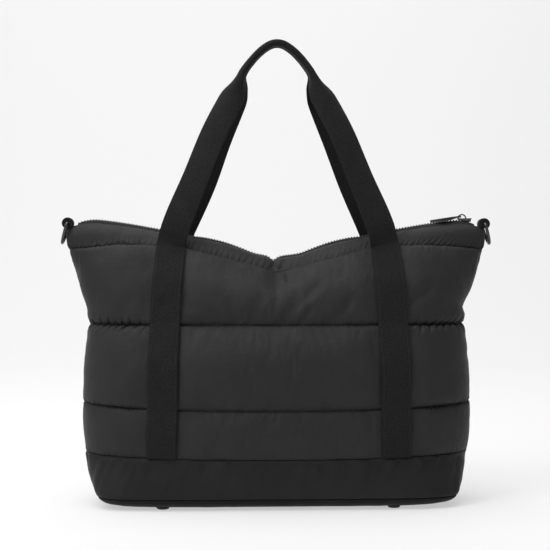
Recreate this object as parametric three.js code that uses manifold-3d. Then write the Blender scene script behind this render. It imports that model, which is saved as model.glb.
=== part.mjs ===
// A padded tote bag with a zip top: quilted front and back panels, a plain base on four feet,
// two webbing handles folded at the grip, and a D-ring in a webbing loop at each top corner.
// Millimetres, +Z up. The front faces -Y. The origin is on the floor under the middle of the bag.
import * as THREE from 'three';
import { mergeVertices } from 'three/addons/utils/BufferGeometryUtils.js';
import Module from 'manifold-3d';

const wasm = await Module();
wasm.setup();

// Heights of the level sewn lines above the floor
const BASE_SEAM_HEIGHT = 55;
const SEAM_THREE_HEIGHT = 107;
const SEAM_TWO_HEIGHT = 198.5;

// How far the two lower sewn lines rise from the middle of the bag to its sides
const BASE_SEAM_RISE = 3.4;
const SEAM_THREE_RISE = 5.4;

// Walls and the clearances that sewn pieces keep
const PANEL_WALL = 3;
const BASE_WALL = 3;
const SEAM_GAP = 0.4;
const SEAT_GAP = 0.3;

// Webbing of the handles
const STRAP_WIDTH = 32;
const STRAP_THICKNESS = 1.8;
const STRAP_LIFT = 0.6;
const GRIP_BEND_LENGTH = 7;

// Zip
const ZIP_END_ACROSS = 221.5;
const CHAIN_WIDTH = 5.2;
const CHAIN_HEIGHT = 2.2;
const TAPE_THICKNESS = 1.2;
const SLIDER_ACROSS = 211;
const SLIDER_LENGTH = 16;
const SLIDER_WIDTH = 8.4;
const SLIDER_PLATE = 1.2;
const SLIDER_CORNER = 2.4;
const FLANGE_THICKNESS = 1;
const FLANGE_LEFT_DEPTH = 0.8;
const FLANGE_RIGHT_DEPTH = 2.8;
const LOWER_PLATE_LENGTH = 12;
const POST_LENGTH = 3;
const POST_WIDTH = 2.6;
const POST_ACROSS = 3.75;
const POST_DEPTH = 6;
const BRIDGE_ACROSS = -2.7;
const BRIDGE_RADIUS = 4.3;
const BRIDGE_START = THREE.MathUtils.degToRad(22);
const BRIDGE_STEPS = 8;
const BRIDGE_WIRE = 1.5;
const PULLER_LENGTH = 32.5;
const PULLER_WIDTH = 8;
const PULLER_THICKNESS = 2.2;
const PULLER_DROOP = THREE.MathUtils.degToRad(8.6);
const PULLER_EYE = 4.6;
const PULLER_EYE_RIM = 0.9;
const PULLER_CORNER = 2;

// Corner loops and their D-rings
const LOOP_ACROSS = 232.8;
const LOOP_HEIGHT = 309.6;
const LOOP_RADIUS = 6.4;
const LOOP_WEBBING = 4.2;
const LOOP_FOOT = 3;
const LOOP_WIDTH = 12;
const RING_WIRE = 3.6;
const RING_HALF_WIDTH = 9.5;
const RING_LENGTH = 22.7;
const RING_CORNER = 3;
const RING_STEPS = 26;
const RING_LEAN = THREE.MathUtils.degToRad(16);

// Feet
const FOOT_HEIGHT = 2.8;
const FOOT_RADIUS = 7;
const FOOT_FLAT_RADIUS = 5;
const FOOT_ACROSS = 125;
const FOOT_OUT = 46;

// How finely the soft walls are divided
const COLUMNS_BESIDE_STRAP = 5;
const COLUMNS_UNDER_STRAP = 2;
const COLUMNS_TO_NOTCH = 5;
const BASE_COLUMNS = 48;
const WIRE_SIDES = 6;
const FOOT_SIDES = 12;

// Levels of a panel where a handle's leg starts to come away, where it leaves, and of the top edge
const LEG_BEND_LEVEL = 2.8;
const LEG_TOP_LEVEL = 3;
const TOP_LEVEL = 4;

// Level sections of a panel at its sewn lines and between them. Level 0 is the base seam, 1 seam three,
// 2 seam two, 3 seam one and 4 the top edge.
const SECTIONS = [
  { name: 'base_seam', level: 0, halfWidth: 212, halfDepth: 70, squareness: 2.6 },
  { name: 'lower_channel', level: 0.5, halfWidth: 214.5, halfDepth: 73, squareness: 2.5 },
  { name: 'seam_three', level: 1, halfWidth: 215, halfDepth: 73, squareness: 2.5 },
  { name: 'middle_channel', level: 1.5, halfWidth: 213.5, halfDepth: 70, squareness: 2.5 },
  { name: 'under_seam_two', level: 1.9, halfWidth: 210.6, halfDepth: 64, squareness: 2.5 },
  { name: 'seam_two', level: 2, halfWidth: 208.2, halfDepth: 62, squareness: 2.5 },
  { name: 'over_seam_two', level: 2.1, halfWidth: 210.4, halfDepth: 60.2, squareness: 2.5 },
  { name: 'side_fold', level: 2.2, halfWidth: 210.8, halfDepth: 58, squareness: 2.5 },
  { name: 'upper_channel', level: 2.5, halfWidth: 219, halfDepth: 51, squareness: 2.5 },
  { name: 'seam_one', level: 3, halfWidth: 231, halfDepth: 34, squareness: 2.5 },
  { name: 'top_band', level: 3.5, halfWidth: 234, halfDepth: 22, squareness: 2.7 },
  { name: 'top_edge', level: 4, halfWidth: 233, halfDepth: 9, squareness: 3 },
];

// Padded channels, from the base up: how far each swells out and how many rows of facets it takes
const CHANNELS = [
  { name: 'lower', loft: 7, rows: 4 },
  { name: 'middle', loft: 11, rows: 6 },
  { name: 'upper', loft: 10, rows: 6 },
  { name: 'top_band', loft: 6, rows: 4 },
];
const CROWN_POWER = 0.62;
const SIDE_SEAM_FADE = 1;
const STRAP_PRESS = 0.65;
const STRAP_PRESS_MARGIN = 2;
const STRAP_PRESS_REACH = 22;

// The top droops to a notch in the middle: heights by distance from the middle
const TOP_LINE = [
  { across: 0, seamOne: 257.8, topEdge: 264.5, ridge: 269.3 },
  { across: 5, seamOne: 258.5, topEdge: 267.6, ridge: 272.3 },
  { across: 9.5, seamOne: 259.6, topEdge: 269.8, ridge: 274.4 },
  { across: 26, seamOne: 263, topEdge: 273.4, ridge: 277.6 },
  { across: 40, seamOne: 266.8, topEdge: 278.9, ridge: 283 },
  { across: 58, seamOne: 271.4, topEdge: 285.2, ridge: 289.4 },
  { across: 78, seamOne: 276.3, topEdge: 289.8, ridge: 294.2 },
  { across: 98, seamOne: 281, topEdge: 292.4, ridge: 297 },
  { across: 131, seamOne: 284.6, topEdge: 299.2, ridge: 303.9 },
  { across: 172, seamOne: 285.3, topEdge: 306.4, ridge: 311 },
  { across: 200, seamOne: 283.6, topEdge: 309.4, ridge: 314.3 },
  { across: 213, seamOne: 282.1, topEdge: 309, ridge: 313.3 },
  { across: 221, seamOne: 281.6, topEdge: 307.6, ridge: 310.6 },
  { across: 227, seamOne: 280.9, topEdge: 306.3, ridge: 307.8 },
  { across: 231, seamOne: 280.4, topEdge: 305.4, ridge: 306.4 },
  { across: 235, seamOne: 280, topEdge: 304.3, ridge: 305.5 },
];

// The notch lies a little to the left of the middle
const NOTCH_ACROSS = -5;
const NOTCH_REACH = 14;

// Middle line of a handle's sewn leg: distance from the middle of the bag by level
const LEG_LINE = [
  { level: 0, across: 125.4 },
  { level: 1, across: 123.6 },
  { level: 2, across: 121.6 },
  { level: 2.5, across: 119.6 },
  { level: 3, across: 117 },
];

// Soft dents pressed into each panel
const DENTS = [
  { name: 'notch_pocket', across: 1, level: 2.9, reachAcross: 15, reachLevel: 0.3, depth: 8 },
  { name: 'left_fold', across: -52, level: 2.72, reachAcross: 22, reachLevel: 0.2, depth: 3 },
  { name: 'right_fold', across: 56, level: 2.68, reachAcross: 24, reachLevel: 0.2, depth: 3 },
];

// The base, from the flat bottom up to the base seam
const BASE_SECTIONS = [
  { name: 'bottom', height: 3.1, halfWidth: 182, halfDepth: 55.5, squareness: 5 },
  { name: 'under_edge', height: 6.4, halfWidth: 190.5, halfDepth: 62, squareness: 6 },
  { name: 'lower_edge', height: 12.5, halfWidth: 197, halfDepth: 66, squareness: 6 },
  { name: 'band_low', height: 23, halfWidth: 203.4, halfDepth: 68.5, squareness: 4.4 },
  { name: 'band_middle', height: 37, halfWidth: 208.2, halfDepth: 70, squareness: 3.3 },
  { name: 'top', height: BASE_SEAM_HEIGHT - SEAM_GAP, halfWidth: 212, halfDepth: 70, squareness: 2.6 },
];

// The free part of a handle from the bag to the middle of the grip: where the strap's middle line runs,
// and how far each half of the strap is folded back, in degrees
const HANDLE_ROWS = [
  { name: 'bag_top', across: 111.5, backAcross: 111, out: 37, height: 303, fold: 6 },
  { name: 'low', across: 88, backAcross: 84.5, out: 32, height: 357, fold: 26 },
  { name: 'middle', across: 65.5, backAcross: 63.5, out: 26, height: 409, fold: 29 },
  { name: 'below_grip', across: 49, backAcross: 48, out: 20.5, height: 447, fold: 33 },
  { name: 'fold_start', across: 43.5, backAcross: 43, out: 18.5, height: 462, fold: 55 },
  { name: 'grip_end', across: 38, backAcross: 38, out: 16.5, height: 477, fold: 82 },
  { name: 'grip_shoulder', across: 26.7, backAcross: 26.7, out: 15.5, height: 492.5, fold: 88 },
  { name: 'grip_bend', across: 16, backAcross: 16, out: 15, height: 503, fold: 88 },
  { name: 'grip_crown', across: 6.5, backAcross: 6.5, out: 15, height: 508.8, fold: 88 },
  { name: 'grip_top', across: 0, backAcross: 0, out: 15, height: 510, fold: 88 },
];
const STEPS_FROM_BAG_TO_GRIP = 11;
const LEG_END_POINT = 1;
const LEG_TURN_SHARE = 0.2;

// Value of one column of a table, on a smooth curve through its rows
function along(table, key, column, at) {
  const last = table.length - 1;
  let row = 0;
  while (row < last - 1 && at > table[row + 1][key]) {
    row += 1;
  }
  const slope = (from, to) => (table[to][column] - table[from][column]) / (table[to][key] - table[from][key]);
  const slopeAt = (index) => slope(Math.max(index - 1, 0), Math.min(index + 1, last));
  const span = table[row + 1][key] - table[row][key];
  const t = THREE.MathUtils.clamp((at - table[row][key]) / span, 0, 1);
  const rise = t * t * (3 - 2 * t);
  const start = t * (1 - t) * (1 - t) * span * slopeAt(row);
  const end = t * t * (t - 1) * span * slopeAt(row + 1);
  return table[row][column] * (1 - rise) + table[row + 1][column] * rise + start + end;
}

function topLine(column, x) {
  const offCentre = NOTCH_ACROSS * Math.exp(-((x / NOTCH_REACH) ** 2));
  return along(TOP_LINE, 'across', column, Math.abs(x - offCentre));
}

function sideRise(rise, x) {
  const share = x / SECTIONS[0].halfWidth;
  return rise * share * share;
}

// Height of a level above the floor: the lower levels rise to the sides, the upper droop to the notch
function heightAt(level, x) {
  const seams = [
    BASE_SEAM_HEIGHT + sideRise(BASE_SEAM_RISE, x),
    SEAM_THREE_HEIGHT + sideRise(SEAM_THREE_RISE, x),
    SEAM_TWO_HEIGHT,
    topLine('seamOne', x),
    topLine('topEdge', x),
  ];
  const below = Math.min(Math.floor(level), seams.length - 2);
  return THREE.MathUtils.lerp(seams[below], seams[below + 1], level - below);
}

// Point of a rounded section: turn 0 is the right side seam, a quarter turn the middle of the front
function sectionPoint(section, turn) {
  const cosine = Math.cos(turn);
  const sine = Math.sin(turn);
  const power = section.squareness;
  const reach = (Math.abs(cosine) ** power + Math.abs(sine) ** power) ** (-1 / power);
  return { x: section.halfWidth * reach * cosine, y: -section.halfDepth * reach * sine };
}

function panelSection(level) {
  const column = (name) => along(SECTIONS, 'level', name, level);
  return { halfWidth: column('halfWidth'), halfDepth: column('halfDepth'), squareness: column('squareness') };
}

function stitchedPoint(turn, level) {
  const flat = sectionPoint(panelSection(level), turn);
  return new THREE.Vector3(flat.x, flat.y - SEAM_GAP / 2, heightAt(level, flat.x));
}

// Turn of the point of a level section at a distance across the bag
function turnAt(x, level) {
  const section = panelSection(level);
  const share = x / section.halfWidth;
  const depth = (1 - Math.abs(share) ** section.squareness) ** (1 / section.squareness);
  return Math.atan2(depth, share);
}

function outwardAt(turn, level) {
  const step = 0.01;
  const low = stitchedPoint(turn, Math.max(level - step, 0));
  const high = stitchedPoint(turn, Math.min(level + step, TOP_LEVEL));
  const right = stitchedPoint(turn - step, level);
  const left = stitchedPoint(turn + step, level);
  return high.sub(low).cross(left.sub(right)).normalize();
}

function strapAcross(level) {
  return along(LEG_LINE, 'level', 'across', level);
}

// How far the padding swells out of the stitched surface
function loftAt(turn, level, x) {
  const channel = Math.min(Math.floor(level), CHANNELS.length - 1);
  const crown = Math.max(Math.sin(Math.PI * (level - channel)), 0) ** CROWN_POWER;
  const fromSide = Math.min(Math.abs(turn), Math.abs(Math.PI - turn));
  const side = THREE.MathUtils.smoothstep(fromSide, 0, SIDE_SEAM_FADE);
  const fromStrap = Math.abs(Math.abs(x) - strapAcross(level)) - STRAP_WIDTH / 2 - STRAP_PRESS_MARGIN;
  const nearStrap = 1 - THREE.MathUtils.smoothstep(fromStrap, 0, STRAP_PRESS_REACH);
  const underStrap = level < LEG_TOP_LEVEL ? nearStrap : 0;
  return CHANNELS[channel].loft * crown * side * (1 - STRAP_PRESS * underStrap);
}

function dentAt(level, x) {
  let depth = 0;
  for (const dent of DENTS) {
    const across = (x - dent.across) / dent.reachAcross;
    const up = (level - dent.level) / dent.reachLevel;
    depth += dent.depth * Math.exp(-across * across - up * up);
  }
  return depth;
}

// Point at a distance outside the padded face of the front panel
function paddedPoint(turn, level, lift) {
  const point = stitchedPoint(turn, level);
  const swell = loftAt(turn, level, point.x) - dentAt(level, point.x);
  return point.addScaledVector(outwardAt(turn, level), swell + lift);
}

// Point of the panel's inner face, kept on its own side of the side seams
function liningPoint(turn, level) {
  const point = stitchedPoint(turn, level);
  point.addScaledVector(outwardAt(turn, level), -PANEL_WALL - dentAt(level, point.x));
  point.y = Math.min(point.y, -SEAM_GAP / 2);
  return point;
}

// Levels of the rows of facets, closer together beside the sewn lines
function panelLevels() {
  const levels = [0];
  CHANNELS.forEach((channel, index) => {
    for (let row = 1; row <= channel.rows; row += 1) {
      levels.push(index + (1 - Math.cos((Math.PI * row) / channel.rows)) / 2);
    }
  });
  return levels;
}

// Turns of the columns of facets along a level, with columns at the edges of both straps
function panelTurns(level) {
  const edge = STRAP_WIDTH / 2 + STRAP_PRESS_MARGIN;
  const outer = turnAt(strapAcross(level) + edge, level);
  const inner = turnAt(strapAcross(level) - edge, level);
  const turns = [];
  const divide = (from, to, count) => {
    for (let step = 0; step < count; step += 1) {
      turns.push(THREE.MathUtils.lerp(from, to, step / count));
    }
  };
  divide(0, outer, COLUMNS_BESIDE_STRAP);
  divide(outer, inner, COLUMNS_UNDER_STRAP);
  divide(inner, turnAt(NOTCH_REACH, level), COLUMNS_TO_NOTCH);
  turns.push(turnAt(NOTCH_REACH, level), turnAt(-NOTCH_ACROSS, level));
  const beyond = turns.map((turn) => Math.PI - turn).reverse();
  return [...turns, Math.PI / 2, ...beyond];
}

function meshGeometry(points, triangles) {
  const geometry = new THREE.BufferGeometry();
  const values = points.flatMap((point) => [point.x, point.y, point.z]);
  geometry.setAttribute('position', new THREE.Float32BufferAttribute(values, 3));
  geometry.setIndex(triangles.flat());
  geometry.computeVertexNormals();
  return geometry;
}

// The same solid on the other side of the bag's middle plane
function mirrored(geometry) {
  const copy = geometry.clone();
  copy.scale(1, -1, 1);
  const index = copy.getIndex();
  for (let corner = 0; corner < index.count; corner += 3) {
    const second = index.getX(corner + 1);
    index.setX(corner + 1, index.getX(corner + 2));
    index.setX(corner + 2, second);
  }
  copy.computeVertexNormals();
  return copy;
}

// Wall between an outer and an inner grid of points. Rows run up, columns run to the left as seen
// from outside. A wall that goes all round joins its last column to its first.
function wallGeometry(outer, inner, goesRound) {
  const rows = outer.length;
  const columns = outer[0].length;
  const points = [...outer.flat(), ...inner.flat()];
  const out = (row, column) => row * columns + (column % columns);
  const back = (row, column) => rows * columns + out(row, column);
  const triangles = [];
  const quad = (a, b, c, d) => triangles.push([a, b, c], [a, c, d]);
  const spans = goesRound ? columns : columns - 1;
  const top = rows - 1;
  for (let column = 0; column < spans; column += 1) {
    for (let row = 0; row < top; row += 1) {
      quad(out(row, column), out(row + 1, column), out(row + 1, column + 1), out(row, column + 1));
      quad(back(row, column), back(row, column + 1), back(row + 1, column + 1), back(row + 1, column));
    }
    quad(out(top, column + 1), out(top, column), back(top, column), back(top, column + 1));
  }
  return { points, triangles, quad, out, back, spans, top };
}

function panelGeometry() {
  const outer = [];
  const inner = [];
  for (const level of panelLevels()) {
    const turns = panelTurns(level);
    outer.push(turns.map((turn) => paddedPoint(turn, level, 0)));
    inner.push(turns.map((turn) => liningPoint(turn, level)));
  }
  const wall = wallGeometry(outer, inner, false);
  for (let column = 0; column < wall.spans; column += 1) {
    wall.quad(wall.out(0, column), wall.out(0, column + 1), wall.back(0, column + 1), wall.back(0, column));
  }
  const left = wall.spans;
  for (let row = 0; row < wall.top; row += 1) {
    wall.quad(wall.out(row + 1, 0), wall.out(row, 0), wall.back(row, 0), wall.back(row + 1, 0));
    wall.quad(wall.out(row, left), wall.out(row + 1, left), wall.back(row + 1, left), wall.back(row, left));
  }
  return meshGeometry(wall.points, wall.triangles);
}

function baseGeometry() {
  const step = (2 * Math.PI) / BASE_COLUMNS;
  const turns = Array.from({ length: BASE_COLUMNS }, (unused, column) => column * step);
  const floor = BASE_SECTIONS[0].height;
  const top = BASE_SECTIONS[BASE_SECTIONS.length - 1].height;
  const ring = (section, inset) => turns.map((turn) => {
    const thinner = {
      halfWidth: section.halfWidth - inset,
      halfDepth: section.halfDepth - inset,
      squareness: section.squareness,
    };
    const flat = sectionPoint(thinner, turn);
    const upwards = (section.height - floor) / (top - floor);
    const rise = sideRise(BASE_SEAM_RISE, flat.x) * upwards * upwards;
    return new THREE.Vector3(flat.x, flat.y, Math.max(section.height, floor + inset) + rise);
  });
  const outer = BASE_SECTIONS.map((section) => ring(section, 0));
  const inner = BASE_SECTIONS.map((section) => ring(section, BASE_WALL));
  const wall = wallGeometry(outer, inner, true);
  const under = wall.points.push(new THREE.Vector3(0, 0, floor)) - 1;
  const inside = wall.points.push(new THREE.Vector3(0, 0, floor + BASE_WALL)) - 1;
  for (let column = 0; column < wall.spans; column += 1) {
    wall.triangles.push([wall.out(0, column), wall.out(0, column + 1), under]);
    wall.triangles.push([wall.back(0, column + 1), wall.back(0, column), inside]);
  }
  return meshGeometry(wall.points, wall.triangles);
}

// Solid through a row of closed loops of points, capped at its ends unless the row closes on itself
function loftGeometry(loops, closesOnItself = false) {
  const size = loops[0].length;
  const count = loops.length;
  const points = loops.flat();
  const triangles = [];
  const quad = (a, b, c, d) => triangles.push([a, b, c], [a, c, d]);
  const at = (loop, corner) => (loop % count) * size + (corner % size);
  const spans = closesOnItself ? count : count - 1;
  for (let loop = 0; loop < spans; loop += 1) {
    for (let corner = 0; corner < size; corner += 1) {
      quad(at(loop, corner), at(loop, corner + 1), at(loop + 1, corner + 1), at(loop + 1, corner));
    }
  }
  if (!closesOnItself) {
    for (let corner = 0; corner < size / 2 - 1; corner += 1) {
      const facing = size - 1 - corner;
      quad(at(0, corner), at(0, facing), at(0, facing - 1), at(0, corner + 1));
      quad(at(spans, corner), at(spans, corner + 1), at(spans, facing - 1), at(spans, facing));
    }
  }
  let volume = 0;
  for (const [a, b, c] of triangles) {
    volume += points[a].dot(points[b].clone().cross(points[c]));
  }
  const facingOut = volume > 0 ? triangles : triangles.map(([a, b, c]) => [a, c, b]);
  return meshGeometry(points, facingOut);
}

// Places across the strap: its edges and the bend along its middle
function strapPlaces() {
  const bend = GRIP_BEND_LENGTH / 2;
  return [-STRAP_WIDTH / 2, -bend, -bend / 2, 0, bend / 2, bend, STRAP_WIDTH / 2];
}

// Section of a handle where it is sewn down on its panel
function sewnSection(side, level) {
  const face = (lift) => strapPlaces().map((place) => {
    const x = side * (strapAcross(level) - place);
    return paddedPoint(turnAt(x, level), level, lift);
  });
  return [...face(STRAP_LIFT + STRAP_THICKNESS), ...face(STRAP_LIFT).reverse()];
}

// Section of the free strap, folded back about its middle line
function foldedSection(middle, tangent, outward, fold) {
  const normal = outward.clone().addScaledVector(tangent, -outward.dot(tangent)).normalize();
  const across = normal.clone().cross(tangent).normalize();
  const bend = GRIP_BEND_LENGTH / 2;
  const angle = THREE.MathUtils.degToRad(Math.max(fold, 1));
  const place = (distance, lift) => {
    const bent = Math.min(Math.abs(distance), bend);
    const straight = Math.abs(distance) - bent;
    const turned = (angle * bent) / bend;
    const sideways = (bend / angle) * Math.sin(turned) + straight * Math.cos(angle) + lift * Math.sin(turned);
    const backwards = (bend / angle) * (1 - Math.cos(turned)) + straight * Math.sin(angle);
    return middle.clone()
      .addScaledVector(across, Math.sign(distance) * sideways)
      .addScaledVector(normal, lift * Math.cos(turned) - backwards);
  };
  const face = (lift) => strapPlaces().map((distance) => place(distance, lift));
  return [...face(STRAP_THICKNESS / 2), ...face(-STRAP_THICKNESS / 2).reverse()];
}

// Middle line of the strap from the right leg over the grip to the left leg
function handleCurve(acrossColumn) {
  const sewnMiddle = (level) => {
    const x = strapAcross(level);
    return paddedPoint(turnAt(x, level), level, STRAP_LIFT + STRAP_THICKNESS / 2);
  };
  const rise = [sewnMiddle(LEG_BEND_LEVEL), sewnMiddle(LEG_TOP_LEVEL)];
  for (const row of HANDLE_ROWS) {
    rise.push(new THREE.Vector3(row[acrossColumn], -row.out, row.height));
  }
  const fall = rise.slice(0, -1).reverse().map((point) => new THREE.Vector3(-point.x, point.y, point.z));
  return new THREE.CatmullRomCurve3([...rise, ...fall], false, 'centripetal');
}

function handleGeometry(acrossColumn) {
  const legLevels = panelLevels().filter((level) => level <= LEG_TOP_LEVEL);
  legLevels[0] = SEAM_GAP / (SEAM_THREE_HEIGHT - BASE_SEAM_HEIGHT);
  const curve = handleCurve(acrossColumn);
  const lastPoint = curve.points.length - 1;
  const panelOutward = outwardAt(turnAt(strapAcross(LEG_TOP_LEVEL), LEG_TOP_LEVEL), LEG_TOP_LEVEL);
  const freeSection = (share, side) => {
    const fromRight = (LEG_END_POINT + share * (lastPoint / 2 - LEG_END_POINT)) / lastPoint;
    const place = side > 0 ? fromRight : 1 - fromRight;
    const middle = curve.getPoint(place);
    const turning = THREE.MathUtils.smoothstep(share, 0, LEG_TURN_SHARE);
    const outward = new THREE.Vector3(side * panelOutward.x, panelOutward.y, panelOutward.z);
    outward.lerp(new THREE.Vector3(0, -1, 0), turning);
    const fold = along(HANDLE_ROWS, 'height', 'fold', middle.z) * turning;
    return foldedSection(middle, curve.getTangent(place), outward, fold);
  };
  const rightLoops = legLevels.map((level) => sewnSection(1, level));
  const leftLoops = legLevels.map((level) => sewnSection(-1, level));
  for (let step = 1; step <= STEPS_FROM_BAG_TO_GRIP; step += 1) {
    const share = step / STEPS_FROM_BAG_TO_GRIP;
    rightLoops.push(freeSection(share, 1));
    leftLoops.push(freeSection(share, -1));
  }
  leftLoops.pop();
  return loftGeometry([...rightLoops, ...leftLoops.reverse()]);
}

// Places along the zip from its left end to the given end, between them those of the panel's columns
function zipPlaces(end) {
  const places = panelTurns(TOP_LEVEL).map((turn) => stitchedPoint(turn, TOP_LEVEL).x).reverse();
  return [-ZIP_END_ACROSS, ...places.filter((x) => x > 1 - ZIP_END_ACROSS && x < end - 1), end];
}

// One tape of the zip, from the top edge of its panel up to the chain
function tapeGeometry() {
  const loops = zipPlaces(ZIP_END_ACROSS).map((x) => {
    const edge = stitchedPoint(turnAt(x, TOP_LEVEL), TOP_LEVEL);
    const sewn = new THREE.Vector2(edge.y, edge.z);
    const chain = new THREE.Vector2(-CHAIN_WIDTH / 2 - SEAT_GAP, topLine('ridge', x) - CHAIN_HEIGHT / 4);
    const way = chain.clone().sub(sewn).normalize();
    const under = new THREE.Vector2(way.y, -way.x).multiplyScalar(TAPE_THICKNESS);
    sewn.addScaledVector(way, SEAT_GAP);
    const chainUnder = new THREE.Vector2(chain.x, chain.y - TAPE_THICKNESS / way.x);
    const corners = [sewn, chain, chainUnder, sewn.clone().add(under)];
    return corners.map((corner) => new THREE.Vector3(x, corner.x, corner.y));
  });
  return loftGeometry(loops);
}

function chainGeometry() {
  const half = CHAIN_WIDTH / 2;
  const outline = [
    [-half, -CHAIN_HEIGHT], [-half, -CHAIN_HEIGHT / 3], [-half / 2, 0],
    [half / 2, 0], [half, -CHAIN_HEIGHT / 3], [half, -CHAIN_HEIGHT],
  ];
  const loops = zipPlaces(SLIDER_ACROSS + SLIDER_LENGTH / 8).map((x) => (
    outline.map(([y, drop]) => new THREE.Vector3(x, y, topLine('ridge', x) + drop))
  ));
  return loftGeometry(loops);
}

function solidOf(geometry) {
  const plain = geometry.clone();
  plain.deleteAttribute('normal');
  plain.deleteAttribute('uv');
  const merged = mergeVertices(plain, 1e-4);
  return new wasm.Manifold(new wasm.Mesh({
    numProp: 3,
    vertProperties: new Float32Array(merged.getAttribute('position').array),
    triVerts: new Uint32Array(merged.getIndex().array),
  }));
}

function geometryOf(solid) {
  const mesh = solid.getMesh();
  const geometry = new THREE.BufferGeometry();
  geometry.setAttribute('position', new THREE.Float32BufferAttribute(mesh.vertProperties, 3));
  geometry.setIndex(Array.from(mesh.triVerts));
  geometry.computeVertexNormals();
  return geometry;
}

// Flat plate with round corners, from its underside up
function plateGeometry(length, width, thickness, corner) {
  const shape = new THREE.Shape();
  const x = length / 2 - corner;
  const y = width / 2 - corner;
  shape.absarc(x, y, corner, 0, Math.PI / 2);
  shape.absarc(-x, y, corner, Math.PI / 2, Math.PI);
  shape.absarc(-x, -y, corner, Math.PI, 1.5 * Math.PI);
  shape.absarc(x, -y, corner, 1.5 * Math.PI, 2 * Math.PI);
  return new THREE.ExtrudeGeometry(shape, { depth: thickness, bevelEnabled: false, curveSegments: 3 });
}

// Heights of the slider above the floor: its top plate clears the highest point of the chain
const PLATE_BOTTOM = Math.max(...TOP_LINE.map((row) => row.ridge)) + SEAT_GAP;
const PLATE_TOP = PLATE_BOTTOM + SLIDER_PLATE;

// Turned-down edge of the slider's top plate, deeper towards the end of the zip
function flangeGeometry(side) {
  const end = SLIDER_LENGTH / 2 - SLIDER_CORNER;
  const shape = new THREE.Shape();
  shape.moveTo(-end, SLIDER_PLATE / 2);
  shape.lineTo(-end, -FLANGE_LEFT_DEPTH);
  shape.lineTo(end, -FLANGE_RIGHT_DEPTH);
  shape.lineTo(end, SLIDER_PLATE / 2);
  const geometry = new THREE.ExtrudeGeometry(shape, { depth: FLANGE_THICKNESS, bevelEnabled: false });
  geometry.rotateX(Math.PI / 2);
  const outside = (side * (SLIDER_WIDTH - FLANGE_THICKNESS)) / 2;
  geometry.translate(0, outside + FLANGE_THICKNESS / 2, PLATE_BOTTOM);
  return geometry;
}

function sliderGeometry() {
  const plate = plateGeometry(SLIDER_LENGTH, SLIDER_WIDTH, SLIDER_PLATE, SLIDER_CORNER);
  plate.translate(0, 0, PLATE_BOTTOM);
  const lowerPlate = plateGeometry(LOWER_PLATE_LENGTH, CHAIN_WIDTH, SLIDER_PLATE, SLIDER_CORNER);
  lowerPlate.translate(0, 0, PLATE_BOTTOM - POST_DEPTH);
  const post = plateGeometry(POST_LENGTH, POST_WIDTH, POST_DEPTH, POST_WIDTH / 3);
  post.translate(POST_ACROSS, 0, PLATE_BOTTOM - POST_DEPTH + SLIDER_PLATE / 2);
  const flanges = [-1, 1].map((side) => flangeGeometry(side));
  const foot = PLATE_TOP - SLIDER_PLATE / 2;
  const arch = [];
  for (let step = 0; step <= BRIDGE_STEPS; step += 1) {
    const angle = Math.PI * (1 - step / BRIDGE_STEPS);
    arch.push(new THREE.Vector3(
      BRIDGE_ACROSS + BRIDGE_RADIUS * Math.cos(angle), 0, PLATE_TOP + BRIDGE_RADIUS * Math.sin(angle),
    ));
  }
  const route = [
    new THREE.Vector3(BRIDGE_ACROSS - BRIDGE_RADIUS, 0, foot),
    ...arch,
    new THREE.Vector3(BRIDGE_ACROSS + BRIDGE_RADIUS, 0, foot),
  ];
  const acrossSlider = new THREE.Vector3(0, 1, 0);
  const loops = route.map((point, index) => {
    const before = route[Math.max(index - 1, 0)];
    const after = route[Math.min(index + 1, route.length - 1)];
    return wireSection(point, after.clone().sub(before).normalize(), acrossSlider, BRIDGE_WIRE);
  });
  const pieces = [post, lowerPlate, ...flanges, loftGeometry(loops)];
  const solid = pieces.reduce((whole, piece) => whole.add(solidOf(piece)), solidOf(plate));
  return geometryOf(solid);
}

// Round section of a wire that runs in a plane with the given normal
function wireSection(middle, tangent, planeNormal, diameter) {
  const inPlane = planeNormal.clone().cross(tangent).normalize();
  return Array.from({ length: WIRE_SIDES }, (unused, side) => {
    const angle = (2 * Math.PI * side) / WIRE_SIDES;
    return middle.clone()
      .addScaledVector(planeNormal, (diameter / 2) * Math.cos(angle))
      .addScaledVector(inPlane, (diameter / 2) * Math.sin(angle));
  });
}

// Flat bar with an eye at its right end, about the middle of the eye
function pullerGeometry() {
  const shape = new THREE.Shape();
  const end = PULLER_WIDTH / 2;
  const corner = PULLER_CORNER;
  shape.absarc(0, 0, PULLER_EYE / 2 + PULLER_EYE_RIM, -Math.PI / 2, Math.PI / 2);
  shape.lineTo(-end, end);
  shape.absarc(corner - PULLER_LENGTH, end - corner, corner, Math.PI / 2, Math.PI);
  shape.absarc(corner - PULLER_LENGTH, corner - end, corner, Math.PI, 1.5 * Math.PI);
  shape.lineTo(-end, -end);
  const eye = new THREE.Path();
  eye.absarc(0, 0, PULLER_EYE / 2, 0, 2 * Math.PI, true);
  shape.holes.push(eye);
  const geometry = new THREE.ExtrudeGeometry(shape, {
    depth: PULLER_THICKNESS, bevelEnabled: false, curveSegments: 6,
  });
  geometry.translate(0, 0, -PULLER_THICKNESS / 2);
  return geometry;
}

// Thick webbing turned round a D-ring, with a flat foot on the corner of the bag
function loopGeometry() {
  const shape = new THREE.Shape();
  const footAngle = Math.asin(LOOP_FOOT / LOOP_RADIUS);
  shape.absarc(0, 0, LOOP_RADIUS, -footAngle, Math.PI + footAngle);
  const eye = new THREE.Path();
  eye.absarc(0, 0, LOOP_RADIUS - LOOP_WEBBING, 0, 2 * Math.PI, true);
  shape.holes.push(eye);
  const geometry = new THREE.ExtrudeGeometry(shape, {
    depth: LOOP_WIDTH, bevelEnabled: false, curveSegments: 10,
  });
  geometry.translate(0, 0, -LOOP_WIDTH / 2);
  geometry.rotateX(Math.PI / 2);
  return geometry;
}

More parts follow.
